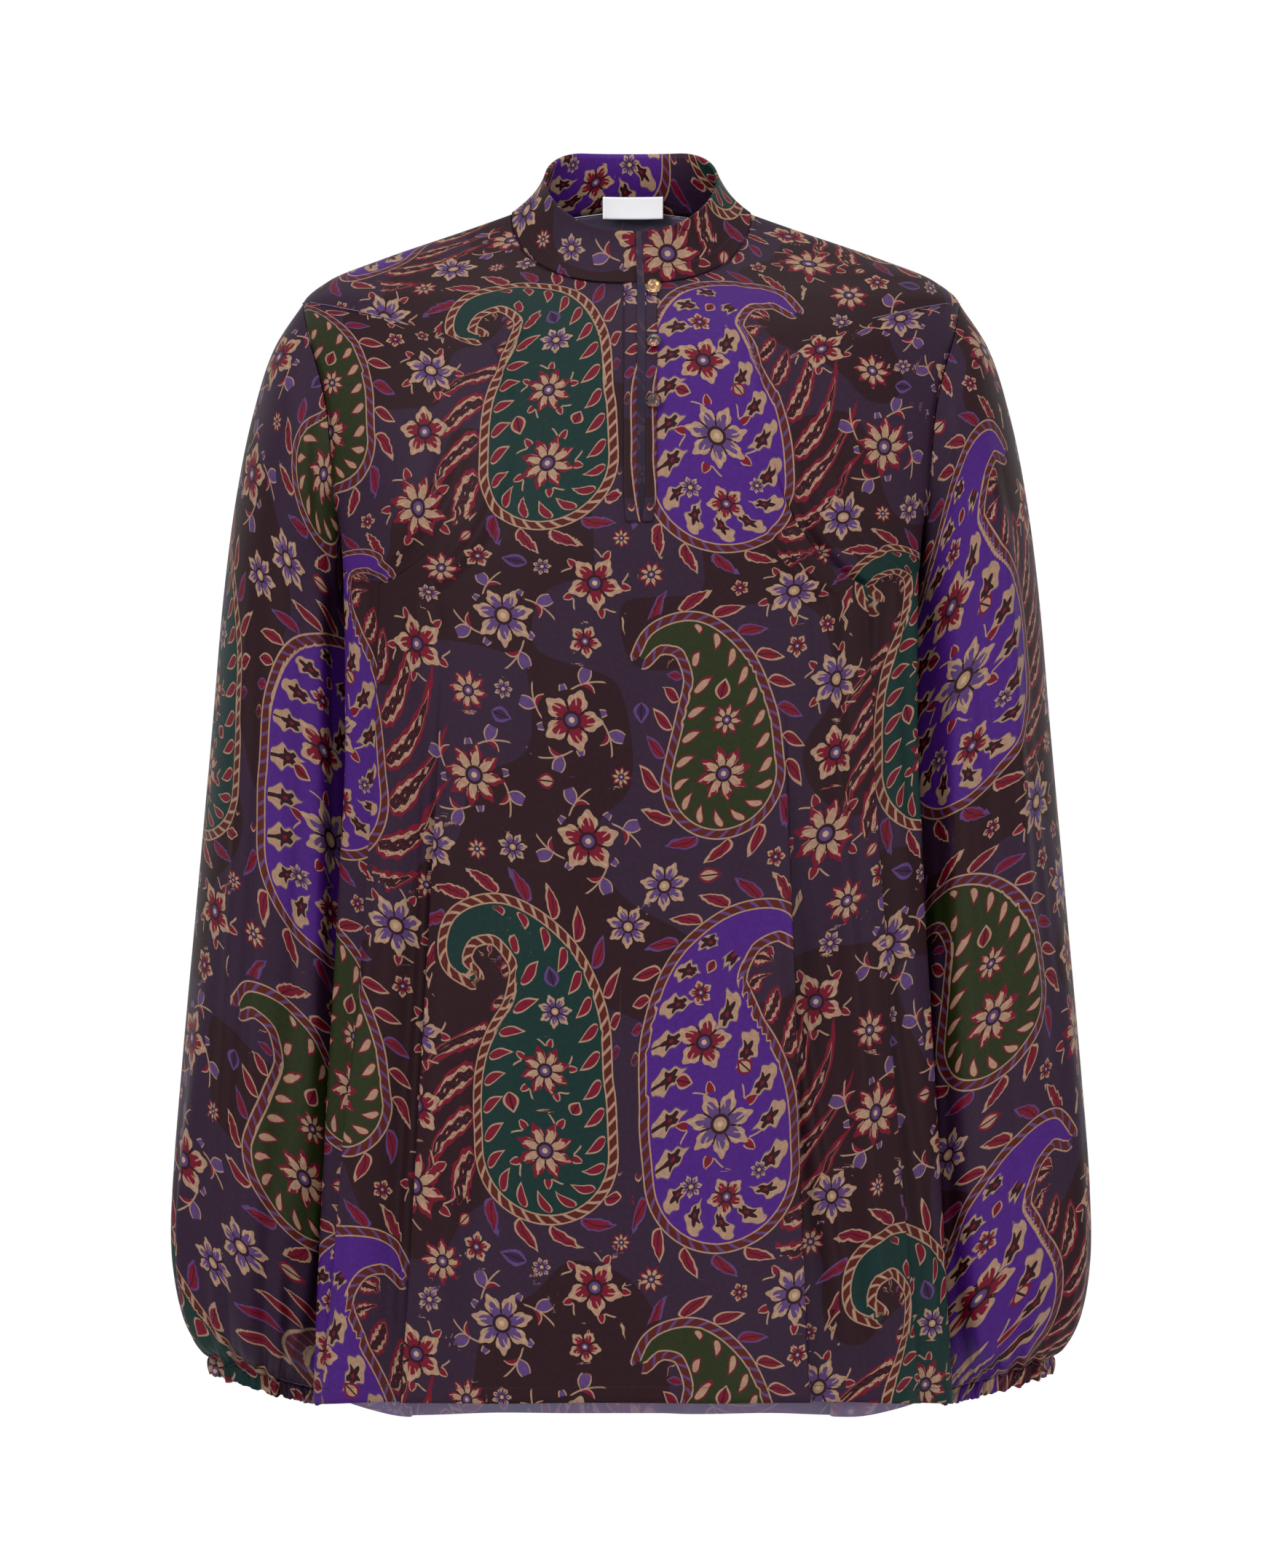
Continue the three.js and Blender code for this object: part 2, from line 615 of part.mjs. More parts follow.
// A sleeve's sheet on the right of the body.
function sleeveSheet(folds) {
  const sheet = new Sheet();
  const columns = 2 * GATHERS.waves;
  const grid = Array.from({ length: columns }, (_, i) => {
    const turn = (360 * i) / columns;
    const curve = new THREE.CatmullRomCurve3(ringColumn(turn), false, 'centripetal');
    return Array.from({ length: SLEEVE_ROWS + 1 }, (__, j) => ({
      share: j / SLEEVE_ROWS,
      turn,
      point: curve.getPoint(j / SLEEVE_ROWS),
    }));
  });
  const rows = Array.from({ length: SLEEVE_ROWS + 1 }, (_, j) =>
    grid.map((column) => sheet.add(column[j].point)).reverse(),
  );
  sheet.join(rows, true);
  const normals = sheet.normals();
  grid.forEach((column, i) =>
    column.forEach(({ turn, share }, j) => {
      const at = rows[j][columns - 1 - i];
      if (j > 0) {
        sheet.points[at].addScaledVector(normals[at], sleeveDrape(turn, share, folds));
        return;
      }
      // The wall runs on from the body's, but under the arm the cloth doubles back on itself.
      const fromTop = Math.min(turn, 360 - turn);
      const own = smooth(fromTop, UNDERARM.start, UNDERARM.full);
      sheet.seams.set(at, armholeEdge(turn).normal.lerp(normals[at], own).normalize());
    }),
  );
  return { sheet, lastRow: rows[SLEEVE_ROWS] };
}

// The elastic casing below the sleeve's last row, with the same crinkles.
function cuffSheet(sleeve) {
  const sheet = new Sheet();
  const last = SLEEVE_RINGS[SLEEVE_RINGS.length - 1];
  const normals = sleeve.sheet.normals();
  const lead = new THREE.Vector3(
    (CUFF_FOOT.outX + CUFF_FOOT.inX - last.outX - last.inX) / 2,
    0,
    (CUFF_FOOT.outZ + CUFF_FOOT.inZ - last.outZ - last.inZ) / 2,
  );
  const rows = Array.from({ length: CUFF_LEVELS + 1 }, (_, j) =>
    sleeve.lastRow.map((at) => {
      const down = SEAM_GAP / lead.length() + (j / CUFF_LEVELS) * (1 - SEAM_GAP / lead.length());
      const point = sleeve.sheet.points[at].clone().addScaledVector(lead, down);
      return sheet.add(point, j === 0 ? normals[at] : undefined);
    }),
  );
  return sheet.join(rows, true);
}

// Mirrors a sheet to the left of the body.
function mirrored(sheet) {
  const other = new Sheet();
  other.points = sheet.points.map((p) => new THREE.Vector3(-p.x, p.y, p.z));
  other.quads = sheet.quads.map(([a, b, c, d]) => [d, c, b, a]);
  sheet.seams.forEach((n, at) => other.seams.set(at, new THREE.Vector3(-n.x, n.y, n.z)));
  return other;
}

// The stand collar: plan runs from just right of the slit, round the back, to just left of it.
function collarPoint(plan, up) {
  const place = neckPlace(plan > 180 ? plan - 360 : plan);
  const foot = bodyPoint(place.t, place.z);
  const fromFront = Math.min(plan, 360 - plan);
  const top = new THREE.Vector3(
    COLLAR.topHalfWidth * squaredSin(plan, COLLAR.square),
    COLLAR.topMiddle - COLLAR.topHalfDepth * squaredCos(plan, COLLAR.square),
    mix(COLLAR.frontTop, COLLAR.backTop, smooth(fromFront, 0, COLLAR.climb)),
  );
  const point = foot.clone().lerp(top, up);
  const hollow = 4 * up * (1 - up) * -2.5; // the band curves in above the seam
  const away = new THREE.Vector2(point.x, point.y - NECK.middle).normalize();
  point.x += away.x * hollow;
  point.y += away.y * hollow;
  point.z += (1 - up) * COLLAR.lift;
  return point;
}

function collarSheet() {
  const sheet = new Sheet();
  const start = neckPlan(SLIT.x + COLLAR.endGap / 2);
  const end = 360 + neckPlan(SLIT.x - COLLAR.endGap / 2);
  const rows = Array.from({ length: COLLAR_ROWS + 1 }, (_, j) =>
    Array.from({ length: COLLAR_COLUMNS + 1 }, (__, i) =>
      sheet.add(collarPoint(mix(start, end, i / COLLAR_COLUMNS), 1 - j / COLLAR_ROWS)),
    ),
  );
  return sheet.join(rows);
}

// A faceted button on a short shank, with its back towards +Y.
function buttonGeometry() {
  const r = BUTTON.radius;
  const profile = [
    [0, -BUTTON.foot],
    [r * 0.35, -BUTTON.foot],
    [r * 0.4, -0.2],
    [r * 0.92, 0],
    [r, 0.9],
    [r * 0.72, BUTTON.crown * 0.75],
    [r * 0.4, BUTTON.crown],
    [0, BUTTON.crown],
  ].map(([x, y]) => new THREE.Vector2(x, y));
  const turned = new THREE.LatheGeometry(profile, BUTTON.sides);
  return turned.rotateX(Math.PI);
}

function buttonAt(name, { z, clear, ahead }) {
  const mesh = piece(name, buttonGeometry(), COLOURS.button, 0.15, 0.4);
  const t = angleAtX(BUTTON.x, z);
  const outward = bodyNormal(t, z).lerp(new THREE.Vector3(0, -1, 0), ahead).normalize();
  const above = LAID_GAP + BINDING.wall + BUTTON.foot + clear;
  mesh.quaternion.setFromUnitVectors(new THREE.Vector3(0, -1, 0), outward);
  mesh.position.copy(bodyPoint(t, z)).addScaledVector(outward, above);
  return mesh;
}

// The woven label hangs inside the back of the neck from the collar's seam, curved with it.
function labelSheet() {
  const sheet = new Sheet();
  const count = 6;
  const rows = [LABEL.top, LABEL.top - LABEL.height].map((z) =>
    Array.from({ length: count + 1 }, (_, i) => {
      const x = LABEL.x + (0.5 - i / count) * LABEL.width;
      const y = NECK.middle + Math.sqrt(LABEL.curve ** 2 - x * x);
      return sheet.add(new THREE.Vector3(x, y, z));
    }),
  );
  return sheet.join(rows);
}

const root = new THREE.Group();
const front = frontSheets();
root.add(piece('front', thicken(front.sheet, WALL), COLOURS.print));
root.add(piece('back', thicken(backSheet(), WALL), COLOURS.printDark));
root.add(piece('collar', thicken(collarSheet(), COLLAR_WALL), COLOURS.print));
for (const [name, strip] of Object.entries(front.strips)) {
  const lift = LAID_GAP + BINDING.wall;
  root.add(piece(`slit_binding_${name}`, thicken(strip, BINDING.wall, lift), COLOURS.printDark));
}
for (const [name, folds] of Object.entries(SLEEVE_FOLDS)) {
  const sleeve = sleeveSheet(folds);
  const cuff = cuffSheet(sleeve);
  const turned = (sheet) => (name === 'left' ? mirrored(sheet) : sheet);
  root.add(piece(`sleeve_${name}`, thicken(turned(sleeve.sheet), WALL), COLOURS.print));
  root.add(piece(`cuff_${name}`, thicken(turned(cuff), WALL), COLOURS.cuff));
}
BUTTONS.forEach((button, i) => root.add(buttonAt(`button_${i + 1}`, button)));
root.add(piece('neck_label', thicken(labelSheet(), LABEL.wall), COLOURS.label, 0.8));

export default root;
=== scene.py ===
import bpy
import math
import numpy as np
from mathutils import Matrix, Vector


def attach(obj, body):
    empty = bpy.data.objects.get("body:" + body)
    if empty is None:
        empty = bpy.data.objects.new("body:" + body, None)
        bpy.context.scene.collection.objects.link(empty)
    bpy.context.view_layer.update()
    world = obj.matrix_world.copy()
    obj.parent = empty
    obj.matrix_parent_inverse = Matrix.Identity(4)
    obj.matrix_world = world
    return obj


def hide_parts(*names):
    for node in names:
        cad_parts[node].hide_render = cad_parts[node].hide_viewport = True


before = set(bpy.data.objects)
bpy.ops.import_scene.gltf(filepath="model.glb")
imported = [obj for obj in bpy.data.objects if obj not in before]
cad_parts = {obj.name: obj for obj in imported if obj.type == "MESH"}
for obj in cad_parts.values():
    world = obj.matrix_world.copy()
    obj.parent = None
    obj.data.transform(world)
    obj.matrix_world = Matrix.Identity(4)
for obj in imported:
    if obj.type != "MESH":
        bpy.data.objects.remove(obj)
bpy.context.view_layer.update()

# Camera. The photograph looks straight at the front from far off. Its scale is 0.45 mm a pixel.
MM_PER_PIXEL = 0.45
IMAGE = (1736, 2154)
CAMERA_DISTANCE = 5.0
CAMERA_HEIGHT = -0.35
AXIS_PIXEL = (867, 300)  # where the origin is in the photograph


def in_scene(name, data):
    obj = bpy.data.objects.new(name, data)
    bpy.context.scene.collection.objects.link(obj)
    return obj


camera_data = bpy.data.cameras.new("camera")
camera = in_scene("camera", camera_data)
bpy.context.scene.camera = camera
view_height = IMAGE[1] * MM_PER_PIXEL / 1000
camera_data.sensor_fit = "VERTICAL"
camera_data.sensor_height = 36
camera_data.lens = 36 * CAMERA_DISTANCE / view_height
camera_data.clip_end = 50
camera.location = (0, -CAMERA_DISTANCE, CAMERA_HEIGHT)
camera.rotation_euler = (math.radians(90), 0, 0)
origin_row = AXIS_PIXEL[1] - CAMERA_HEIGHT * 1000 / MM_PER_PIXEL
camera_data.shift_x = (IMAGE[0] / 2 - AXIS_PIXEL[0]) / IMAGE[1]
camera_data.shift_y = (origin_row - IMAGE[1] / 2) / IMAGE[1]

# The blouse's form in millimetres: the same sections, rings and folds as its solids have.
WALL = 0.9
NECK = dict(half_width=74, half_depth=58, middle=10, square=2.25)
FRONT_HEM, BACK_HEM, SIDE_HEM = -722, -748, -733
SLIT = dict(x=6, half_width=2.5, end=-192, taper=26)
ARMHOLE = dict(top=-52, bottom=-215, front_reach=27, back_reach=25)
COLLAR = dict(
    top_half_width=54, top_half_depth=48, top_middle=7, square=2.3,
    front_top=-10.5, back_top=44, climb=150, end_gap=5, lift=1.0,
)
SECTION_KEYS = ("z", "wide", "middle", "front", "back", "square", "press")
SECTIONS = [
    (13, 52, 10, 5, 56, 2.05, 0),
    (6, 67, 10, 8, 60, 2.05, 0),
    (-5, 97, 10, 17, 67, 2.05, 0),
    (-25, 155, 10, 36, 77, 2.1, 0),
    (-38, 187, 10, 51, 84, 2.1, 0),
    (-52, 203, 9, 67, 90, 2.15, 0),
    (-80, 209, 6, 87, 98, 2.2, 0),
    (-130, 205, 3, 109, 107, 2.3, 4),
    (-215, 193, 0, 129, 112, 2.4, 32),
    (-320, 191, 0, 131, 112, 2.5, 39),
    (-420, 196, 0, 130, 114, 2.5, 44),
    (-560, 205, 0, 131, 117, 2.5, 50),
    (-740, 216, 0, 134, 122, 2.5, 57),
]
PRESS_SPAN = dict(start=62, full=82, ease=102, end=134)

FOLD_KEYS = ("head", "foot", "outward", "top", "full", "depth", "edge", "run")
FRONT_FOLDS = [
    (-0.47, -0.41, -1, -270, -480, 15, 5, 66),
    (0.335, 0.28, 1, -280, -470, 13, 5, 74),
    (0.66, 0.57, 1, -130, -230, 6, 5, 34),
    (-0.72, -0.64, -1, -180, -290, 5, 7, 40),
]
BACK_FOLDS = [
    (-0.42, -0.4, -1, -190, -420, 12, 8, 70),
    (0.38, 0.35, 1, -220, -450, 13, 8, 72),
    (0.03, 0.05, 1, -330, -560, 7, 12, 60),
]
FLUTE_KEYS = ("at", "half", "out", "top")
FRONT_FLUTES = [
    (-0.2, 0.15, 7, -330), (0.1, 0.14, 6, -380), (-0.6, 0.1, 5, -260), (0.47, 0.1, 6, -300),
]
BACK_FLUTES = [
    (-0.2, 0.14, 9, -260), (0.2, 0.13, 8, -300), (0.58, 0.1, 6, -280), (-0.6, 0.1, 6, -280),
]

RING_KEYS = ("out_x", "out_z", "in_x", "in_z", "middle", "depth")
SLEEVE_RINGS = [
    (221, -80, 165, -223, 12, 66),
    (234, -120, 166, -233, 13, 67),
    (244, -168, 166, -247, 14, 66),
    (252, -228, 165, -274, 14, 65),
    (260, -320, 162, -338, 14, 64),
    (269, -420, 160, -430, 14, 65),
    (278, -520, 160, -522, 13, 67),
    (284, -600, 163, -600, 12, 68),
    (284, -645, 168, -648, 11, 66),
    (277, -680, 176, -686, 10, 56),
    (267, -697, 187, -711, 9, 42),
    (261, -703, 193, -723, 8, 29),
]
CUFF_FOOT = (259, -713, 195, -734, 8, 29)
SLEEVE_FOLDS = {  # turn, half width, height, and the shares where it starts and ends
    "right": [
        (62, 17, 7, 0.12, 0.62), (104, 15, 6, 0.3, 0.95), (30, 15, 4, 0.45, 0.97),
        (250, 20, 6, 0.15, 0.9), (310, 18, 5, 0.3, 0.95),
    ],
    "left": [
        (78, 16, 6, 0.4, 0.97), (112, 14, 5, 0.15, 0.7), (36, 15, 5, 0.5, 0.97),
        (244, 20, 6, 0.15, 0.9), (306, 18, 5, 0.3, 0.95),
    ],
}
GATHERS = dict(waves=22, height=2.6, start=0.8)
ROWS = dict(shoulder=7, armhole=11, side=12)
SLIT_ROW = 14
ROW_COUNT = sum(ROWS.values())
TIP = ROWS["shoulder"] / ROW_COUNT
PIT = (ROWS["shoulder"] + ROWS["armhole"]) / ROW_COUNT


def named(keys, rows):
    return [dict(zip(keys, row)) for row in rows]


def mix(a, b, s):
    return a + (b - a) * s


def smooth(x, low, high):
    s = np.clip((np.asarray(x, float) - low) / (high - low), 0, 1)
    return s * s * (3 - 2 * s)


def power(value, exponent):
    return np.sign(value) * np.abs(value) ** exponent


def squared(angle, exponent):
    a = np.radians(angle)
    return power(np.sin(a), 2 / exponent), power(np.cos(a), 2 / exponent)


def unit_vectors(v):
    return v / (np.linalg.norm(v, axis=-1, keepdims=True) + 1e-12)


def turned_from(turn, at):
    """The signed angle from one turn to another, from -180 to 180."""
    return (turn - at + 540) % 360 - 180


def columns_of(*values):
    """Values of like or single rows and columns, side by side on a last axis."""
    return np.stack(np.broadcast_arrays(*values), axis=-1)


def every_second(count):
    return np.unique(np.concatenate([np.arange(0, count, 2), [count - 1]]))


def monotone(z_rows, values, z):
    """A smooth curve with no overshoot through values given at falling heights."""
    x = -np.asarray(z_rows, float)
    y = np.asarray(values, float)
    slope = np.diff(y) / np.diff(x)
    tangent = np.zeros(len(x))
    tangent[0], tangent[-1] = slope[0], slope[-1]
    before, after = slope[:-1], slope[1:]
    same = before * after > 0
    total = np.where(same, before + after, 1)
    tangent[1:-1] = np.where(same, 2 * before * after / total, 0)
    q = np.clip(-np.asarray(z, float), x[0], x[-1])
    i = np.clip(np.searchsorted(x, q, side="right") - 1, 0, len(x) - 2)
    h = x[i + 1] - x[i]
    s = (q - x[i]) / h
    rise = s * s * (3 - 2 * s)
    return mix(y[i], y[i + 1], rise) + h * s * (1 - s) * ((1 - s) * tangent[i] - s * tangent[i + 1])


SECTION_TABLE = np.array(SECTIONS, float)
LEVELS = np.linspace(-760, 20, 3121)
SECTION_CURVES = {
    key: monotone(SECTION_TABLE[:, 0], SECTION_TABLE[:, i], LEVELS)
    for i, key in enumerate(SECTION_KEYS) if i
}


def section(z):
    return {key: np.interp(z, LEVELS, curve) for key, curve in SECTION_CURVES.items()}


def body_point(t, z, out=0.0):
    """Points of the body at angles t from the centre front, in degrees, moved out by out."""
    t, z = np.broadcast_arrays(np.asarray(t, float), np.asarray(z, float))
    s = section(z)
    across, along = squared(t, s["square"])
    depth = np.where(along > 0, s["front"], s["back"])
    nx = power(across, s["square"] - 1) / s["wide"]
    ny = -power(along, s["square"] - 1) / depth
    length = np.hypot(nx, ny) + 1e-12
    turned = np.abs(turned_from(t, 0))
    pressed = (
        s["press"]
        * smooth(turned, PRESS_SPAN["start"], PRESS_SPAN["full"])
        * (1 - smooth(turned, PRESS_SPAN["ease"], PRESS_SPAN["end"]))
    )
    shift = out - pressed
    return np.stack([
        s["wide"] * across + nx / length * shift,
        s["middle"] - depth * along + ny / length * shift,
        z + 0.0 * t,
    ], axis=-1)


def body_normal(t, z):
    step = 0.5
    around = body_point(t + step, z) - body_point(t - step, z)
    up = body_point(t, z + step) - body_point(t, z - step)
    return unit_vectors(np.cross(around, up))


def angle_at_x(x, z):
    s = section(z)
    return np.degrees(np.arcsin(np.clip(power(x / s["wide"], s["square"] / 2), -1, 1)))


def neck_plan(x):
    return np.degrees(np.arcsin(power(x / NECK["half_width"], NECK["square"] / 2)))


def solve_neck(plan):
    plan = np.asarray(plan, float)
    across, along = squared(plan, NECK["square"])
    x = NECK["half_width"] * across
    y = NECK["middle"] - NECK["half_depth"] * along
    low = np.full(plan.shape, -120.0)
    high = np.full(plan.shape, 13.0)
    for _ in range(34):
        z = (low + high) / 2
        s = section(z)
        depth = np.where(y < s["middle"], s["front"], s["back"])
        square = s["square"]
        outside = np.abs(x / s["wide"]) ** square + np.abs((y - s["middle"]) / depth) ** square > 1
        high = np.where(outside, z, high)
        low = np.where(outside, low, z)
    z = (low + high) / 2
    s = section(z)
    from_front = np.degrees(np.arcsin(np.minimum(1, np.abs(x) / s["wide"]) ** (s["square"] / 2)))
    t = np.where(y < s["middle"], from_front, 180 - from_front)
    return np.where(plan < 0, -t, t), z


NECK_PLANS = np.linspace(-20, 180, 801)
NECK_ANGLES, NECK_HEIGHTS = solve_neck(NECK_PLANS)


def neck_place(plan):
    return np.interp(plan, NECK_PLANS, NECK_ANGLES), np.interp(plan, NECK_PLANS, NECK_HEIGHTS)


def armhole_place(turn, reach):
    middle = (ARMHOLE["top"] + ARMHOLE["bottom"]) / 2
    half = (ARMHOLE["top"] - ARMHOLE["bottom"]) / 2
    return 90 + reach * np.sin(np.radians(turn)), middle + half * np.cos(np.radians(turn))


def edge_place(v, reach):
    neck_z = neck_place(np.array(90.0))[1]
    t_hole, z_hole = armhole_place(180 * (v - TIP) / (PIT - TIP), reach)
    t = np.where((v >= TIP) & (v < PIT), t_hole, 90)
    z = np.where(v < TIP, mix(neck_z, ARMHOLE["top"], v / TIP), z_hole)
    z = np.where(v >= PIT, mix(ARMHOLE["bottom"], SIDE_HEM, (v - PIT) / (1 - PIT)), z)
    return t, z


def slit_half_width(z):
    return SLIT["half_width"] * np.sqrt(smooth(z, SLIT["end"], SLIT["end"] + SLIT["taper"]))


def centre_height(stops, v):
    return np.interp(v * ROW_COUNT, [s[0] for s in stops], [s[1] for s in stops])


def blend(U, v, top, bottom, centre, edge):
    """Fills half a panel from its four edges, each a pair of an angle and a height. U holds the
    shares across for each row and v the rows' shares down."""
    top_u, bottom_u, centre_v, edge_v = top(U), bottom(U), centre(v), edge(v)
    zero, one = np.zeros(1), np.ones(1)
    t0, t1, b0, b1 = top(zero), top(one), bottom(zero), bottom(one)
    V = v[:, None]
    return [
        (1 - V) * top_u[k] + V * bottom_u[k]
        + (1 - U) * centre_v[k][:, None] + U * edge_v[k][:, None]
        - (1 - U) * (1 - V) * t0[k] - U * (1 - V) * t1[k]
        - (1 - U) * V * b0[k] - U * V * b1[k]
        for k in range(2)
    ]


def front_place(side, u, v):
    def middle_t(z):
        return side * angle_at_x(SLIT["x"] + side * slit_half_width(z), z)

    first = neck_plan(side * (SLIT["x"] + side * SLIT["half_width"]))
    neck_z = float(neck_place(first)[1])
    stops = [
        (0, neck_z), (ROWS["shoulder"], -92), (SLIT_ROW, SLIT["end"]),
        (ROWS["shoulder"] + ROWS["armhole"], -252), (ROW_COUNT, FRONT_HEM),
    ]

    def centre(b):
        z = centre_height(stops, b)
        return middle_t(z), z

    t, z = blend(
        u, v,
        lambda a: neck_place(mix(first, 90, a)),
        lambda a: (mix(centre(np.ones(1))[0], 90, a), mix(FRONT_HEM, SIDE_HEM, a * a)),
        centre,
        lambda b: edge_place(b, -ARMHOLE["front_reach"]),
    )
    return side * t, z


def back_place(side, u, v):
    neck_z = float(neck_place(180.0)[1])
    stops = [
        (0, neck_z), (ROWS["shoulder"], -68),
        (ROWS["shoulder"] + ROWS["armhole"], -238), (ROW_COUNT, BACK_HEM),
    ]
    t, z = blend(
        u, v,
        lambda a: neck_place(mix(180, 90, a)),
        lambda a: (mix(180, 90, a), mix(BACK_HEM, SIDE_HEM, smooth(a, 0.4, 0.7))),
        lambda b: (np.full(b.shape, 180.0), centre_height(stops, b)),
        lambda b: edge_place(b, ARMHOLE["back_reach"]),
    )
    return side * t, z


HALF_PANEL = 300.0  # millimetres from the centre to the side, round the body


def drape(u, z, folds, flutes):
    near_edge = 1 - smooth(np.abs(u), 0.86, 0.98)
    out = np.zeros(np.broadcast(u, z).shape)
    for f in named(FOLD_KEYS, folds):
        at = mix(f["head"], f["foot"], smooth(-z, -f["top"], -SIDE_HEM))
        beyond = (u - at) * f["outward"] * HALF_PANEL
        drop = smooth(beyond, -f["edge"] / 2, f["edge"] / 2)
        back = 1 - smooth(beyond, f["edge"], f["run"])
        out = out - f["depth"] * drop * back * smooth(-z, -f["top"], -f["full"])
    for f in named(FLUTE_KEYS, flutes):
        near = np.maximum(0, 1 - np.abs((u - f["at"]) / f["half"]))
        out = out + f["out"] * smooth(near, 0, 1) * smooth(-z, -f["top"], -FRONT_HEM)
    return out * near_edge


# Shells. Each is a closed thin wall: a fine outer grid, a coarser inner one and a rim.
def grid_normals(P, wrap=False):
    """Unit normals of a grid of points [rows down, columns to the right as seen from outside]."""
    if wrap:
        across = np.roll(P, -1, axis=1) - np.roll(P, 1, axis=1)
    else:
        across = np.gradient(P, axis=1)
    return unit_vectors(np.cross(np.gradient(P, axis=0), across))


class Shell:
    """Collects grids of points, with their values of the print's fields, into one mesh."""

    def __init__(self):
        self.points, self.cloth, self.hem = [], [], []
        self.quads, self.inside, self.triangles = [], [], []
        self.count = 0

    def add(self, P, cloth, hem):
        """P is rows by columns by 3, cloth the place on the flat cloth, hem the way to its end."""
        rows, columns = P.shape[:2]
        index = self.count + np.arange(rows * columns).reshape(rows, columns)
        self.points.append(P.reshape(-1, 3))
        self.cloth.append(cloth.reshape(-1, 2))
        self.hem.append(hem.ravel())
        self.count += rows * columns
        return index

    def join(self, index, inside=False, wrap=False):
        nxt = np.roll(index, -1, axis=1) if wrap else index[:, 1:]
        cur = index if wrap else index[:, :-1]
        q = np.stack([cur[1:], nxt[1:], nxt[:-1], cur[:-1]], axis=-1).reshape(-1, 4)
        if inside:
            q = q[:, ::-1]
        self.quads.append(q)
        self.inside.append(np.full(len(q), inside))

    def rim(self, outer, inner):
        """Closes the edge between a line of outer points and a coarser line of inner ones."""
        a, b = list(outer), list(inner)
        faces = []
        i = j = 0
        while i < len(a) - 1 or j < len(b) - 1:
            step_outer = j == len(b) - 1 or (
                i < len(a) - 1 and (i + 1) / (len(a) - 1) <= (j + 1) / (len(b) - 1) + 1e-9
            )
            if step_outer:
                faces.append((a[i + 1], a[i], b[j]))
                i += 1
            else:
                faces.append((b[j], b[j + 1], a[i]))
                j += 1
        self.triangles += faces

    def mesh(self, name):
        points = np.concatenate(self.points) / 1000
        quads = np.concatenate(self.quads)
        triangles = np.array(self.triangles, int).reshape(-1, 3)
        inside = np.concatenate(self.inside + [np.zeros(len(triangles), bool)])
        loops = np.concatenate([quads.ravel(), triangles.ravel()])
        sizes = np.concatenate([np.full(len(quads), 4), np.full(len(triangles), 3)])
        starts = np.concatenate([[0], np.cumsum(sizes)[:-1]])
        mesh = bpy.data.meshes.new(name)
        mesh.vertices.add(len(points))
        mesh.vertices.foreach_set("co", points.astype(np.float32).ravel())
        mesh.loops.add(len(loops))
        mesh.loops.foreach_set("vertex_index", loops.astype(np.int32))
        mesh.polygons.add(len(sizes))
        mesh.polygons.foreach_set("loop_start", starts.astype(np.int32))
        mesh.polygons.foreach_set("loop_total", sizes.astype(np.int32))
        mesh.polygons.foreach_set("material_index", inside.astype(np.int32))
        mesh.polygons.foreach_set("use_smooth", np.ones(len(sizes), bool))
        mesh.update(calc_edges=True)
        mesh.validate()
        return mesh


def attribute(mesh, name, values):
    layer = mesh.attributes.new(name, "FLOAT_COLOR", "POINT")
    data = np.zeros((len(mesh.vertices), 4), np.float32)
    data[:, : values.shape[1]] = values
    layer.data.foreach_set("color", data.ravel())


def walled(shell, P, cloth, hem, wall, n, wrap=False):
    """Adds a grid as a wall: its outer side, and an inner side of every second point."""
    rows, columns = P.shape[:2]
    coarse = np.ix_(every_second(rows), np.arange(0, columns, 2) if wrap else every_second(columns))
    outer = shell.add(P, cloth, hem)
    inner = shell.add((P - n * wall)[coarse], cloth[coarse], hem[coarse])
    shell.join(outer, wrap=wrap)
    shell.join(inner, inside=True, wrap=wrap)
    return outer, inner


def close_loop(line):
    return np.concatenate([line, line[:1]])


# Panels
def shares_across(count, folds, side, z_of_row):
    """Shares from 0 to 1 in each row, closer together at the folds' edges, and at the centre and
    the side, where a squared outline's angle runs fast."""
    steps = 600
    u = np.linspace(0, 1, steps + 1)
    at_ends = 0.55 * ((u + 0.002) ** -0.2 + (1.002 - u) ** -0.2)
    weight = np.zeros((len(z_of_row), steps + 1)) + at_ends
    for f in named(FOLD_KEYS, folds):
        at = mix(f["head"], f["foot"], smooth(-z_of_row, -f["top"], -SIDE_HEM))[:, None]
        weight += 2.2 * np.exp(-(((side * u[None, :] - at) * HALF_PANEL / (1.3 * f["edge"])) ** 2))
    sums = np.cumsum((weight[:, 1:] + weight[:, :-1]) / 2, axis=1)
    sums = np.concatenate([np.zeros((len(sums), 1)), sums], axis=1)
    sums /= sums[:, -1:]
    k = np.linspace(0, 1, count + 1)
    return np.stack([np.interp(k, row, u) for row in sums])


def lengths_along(P, axis):
    step = np.linalg.norm(np.diff(P, axis=axis), axis=-1)
    zero = np.zeros_like(np.take(step, [0], axis=axis))
    return np.concatenate([zero, np.cumsum(step, axis=axis)], axis=axis)


def row_shares(count, stops):
    """Shares down a panel, some of which fall on given stops."""
    stops = sorted(set([0.0, *stops, 1.0]))
    parts = []
    for a, b in zip(stops, stops[1:]):
        parts.append(np.linspace(a, b, max(1, round(count * (b - a))) + 1)[:-1])
    return np.concatenate(parts + [[1.0]])


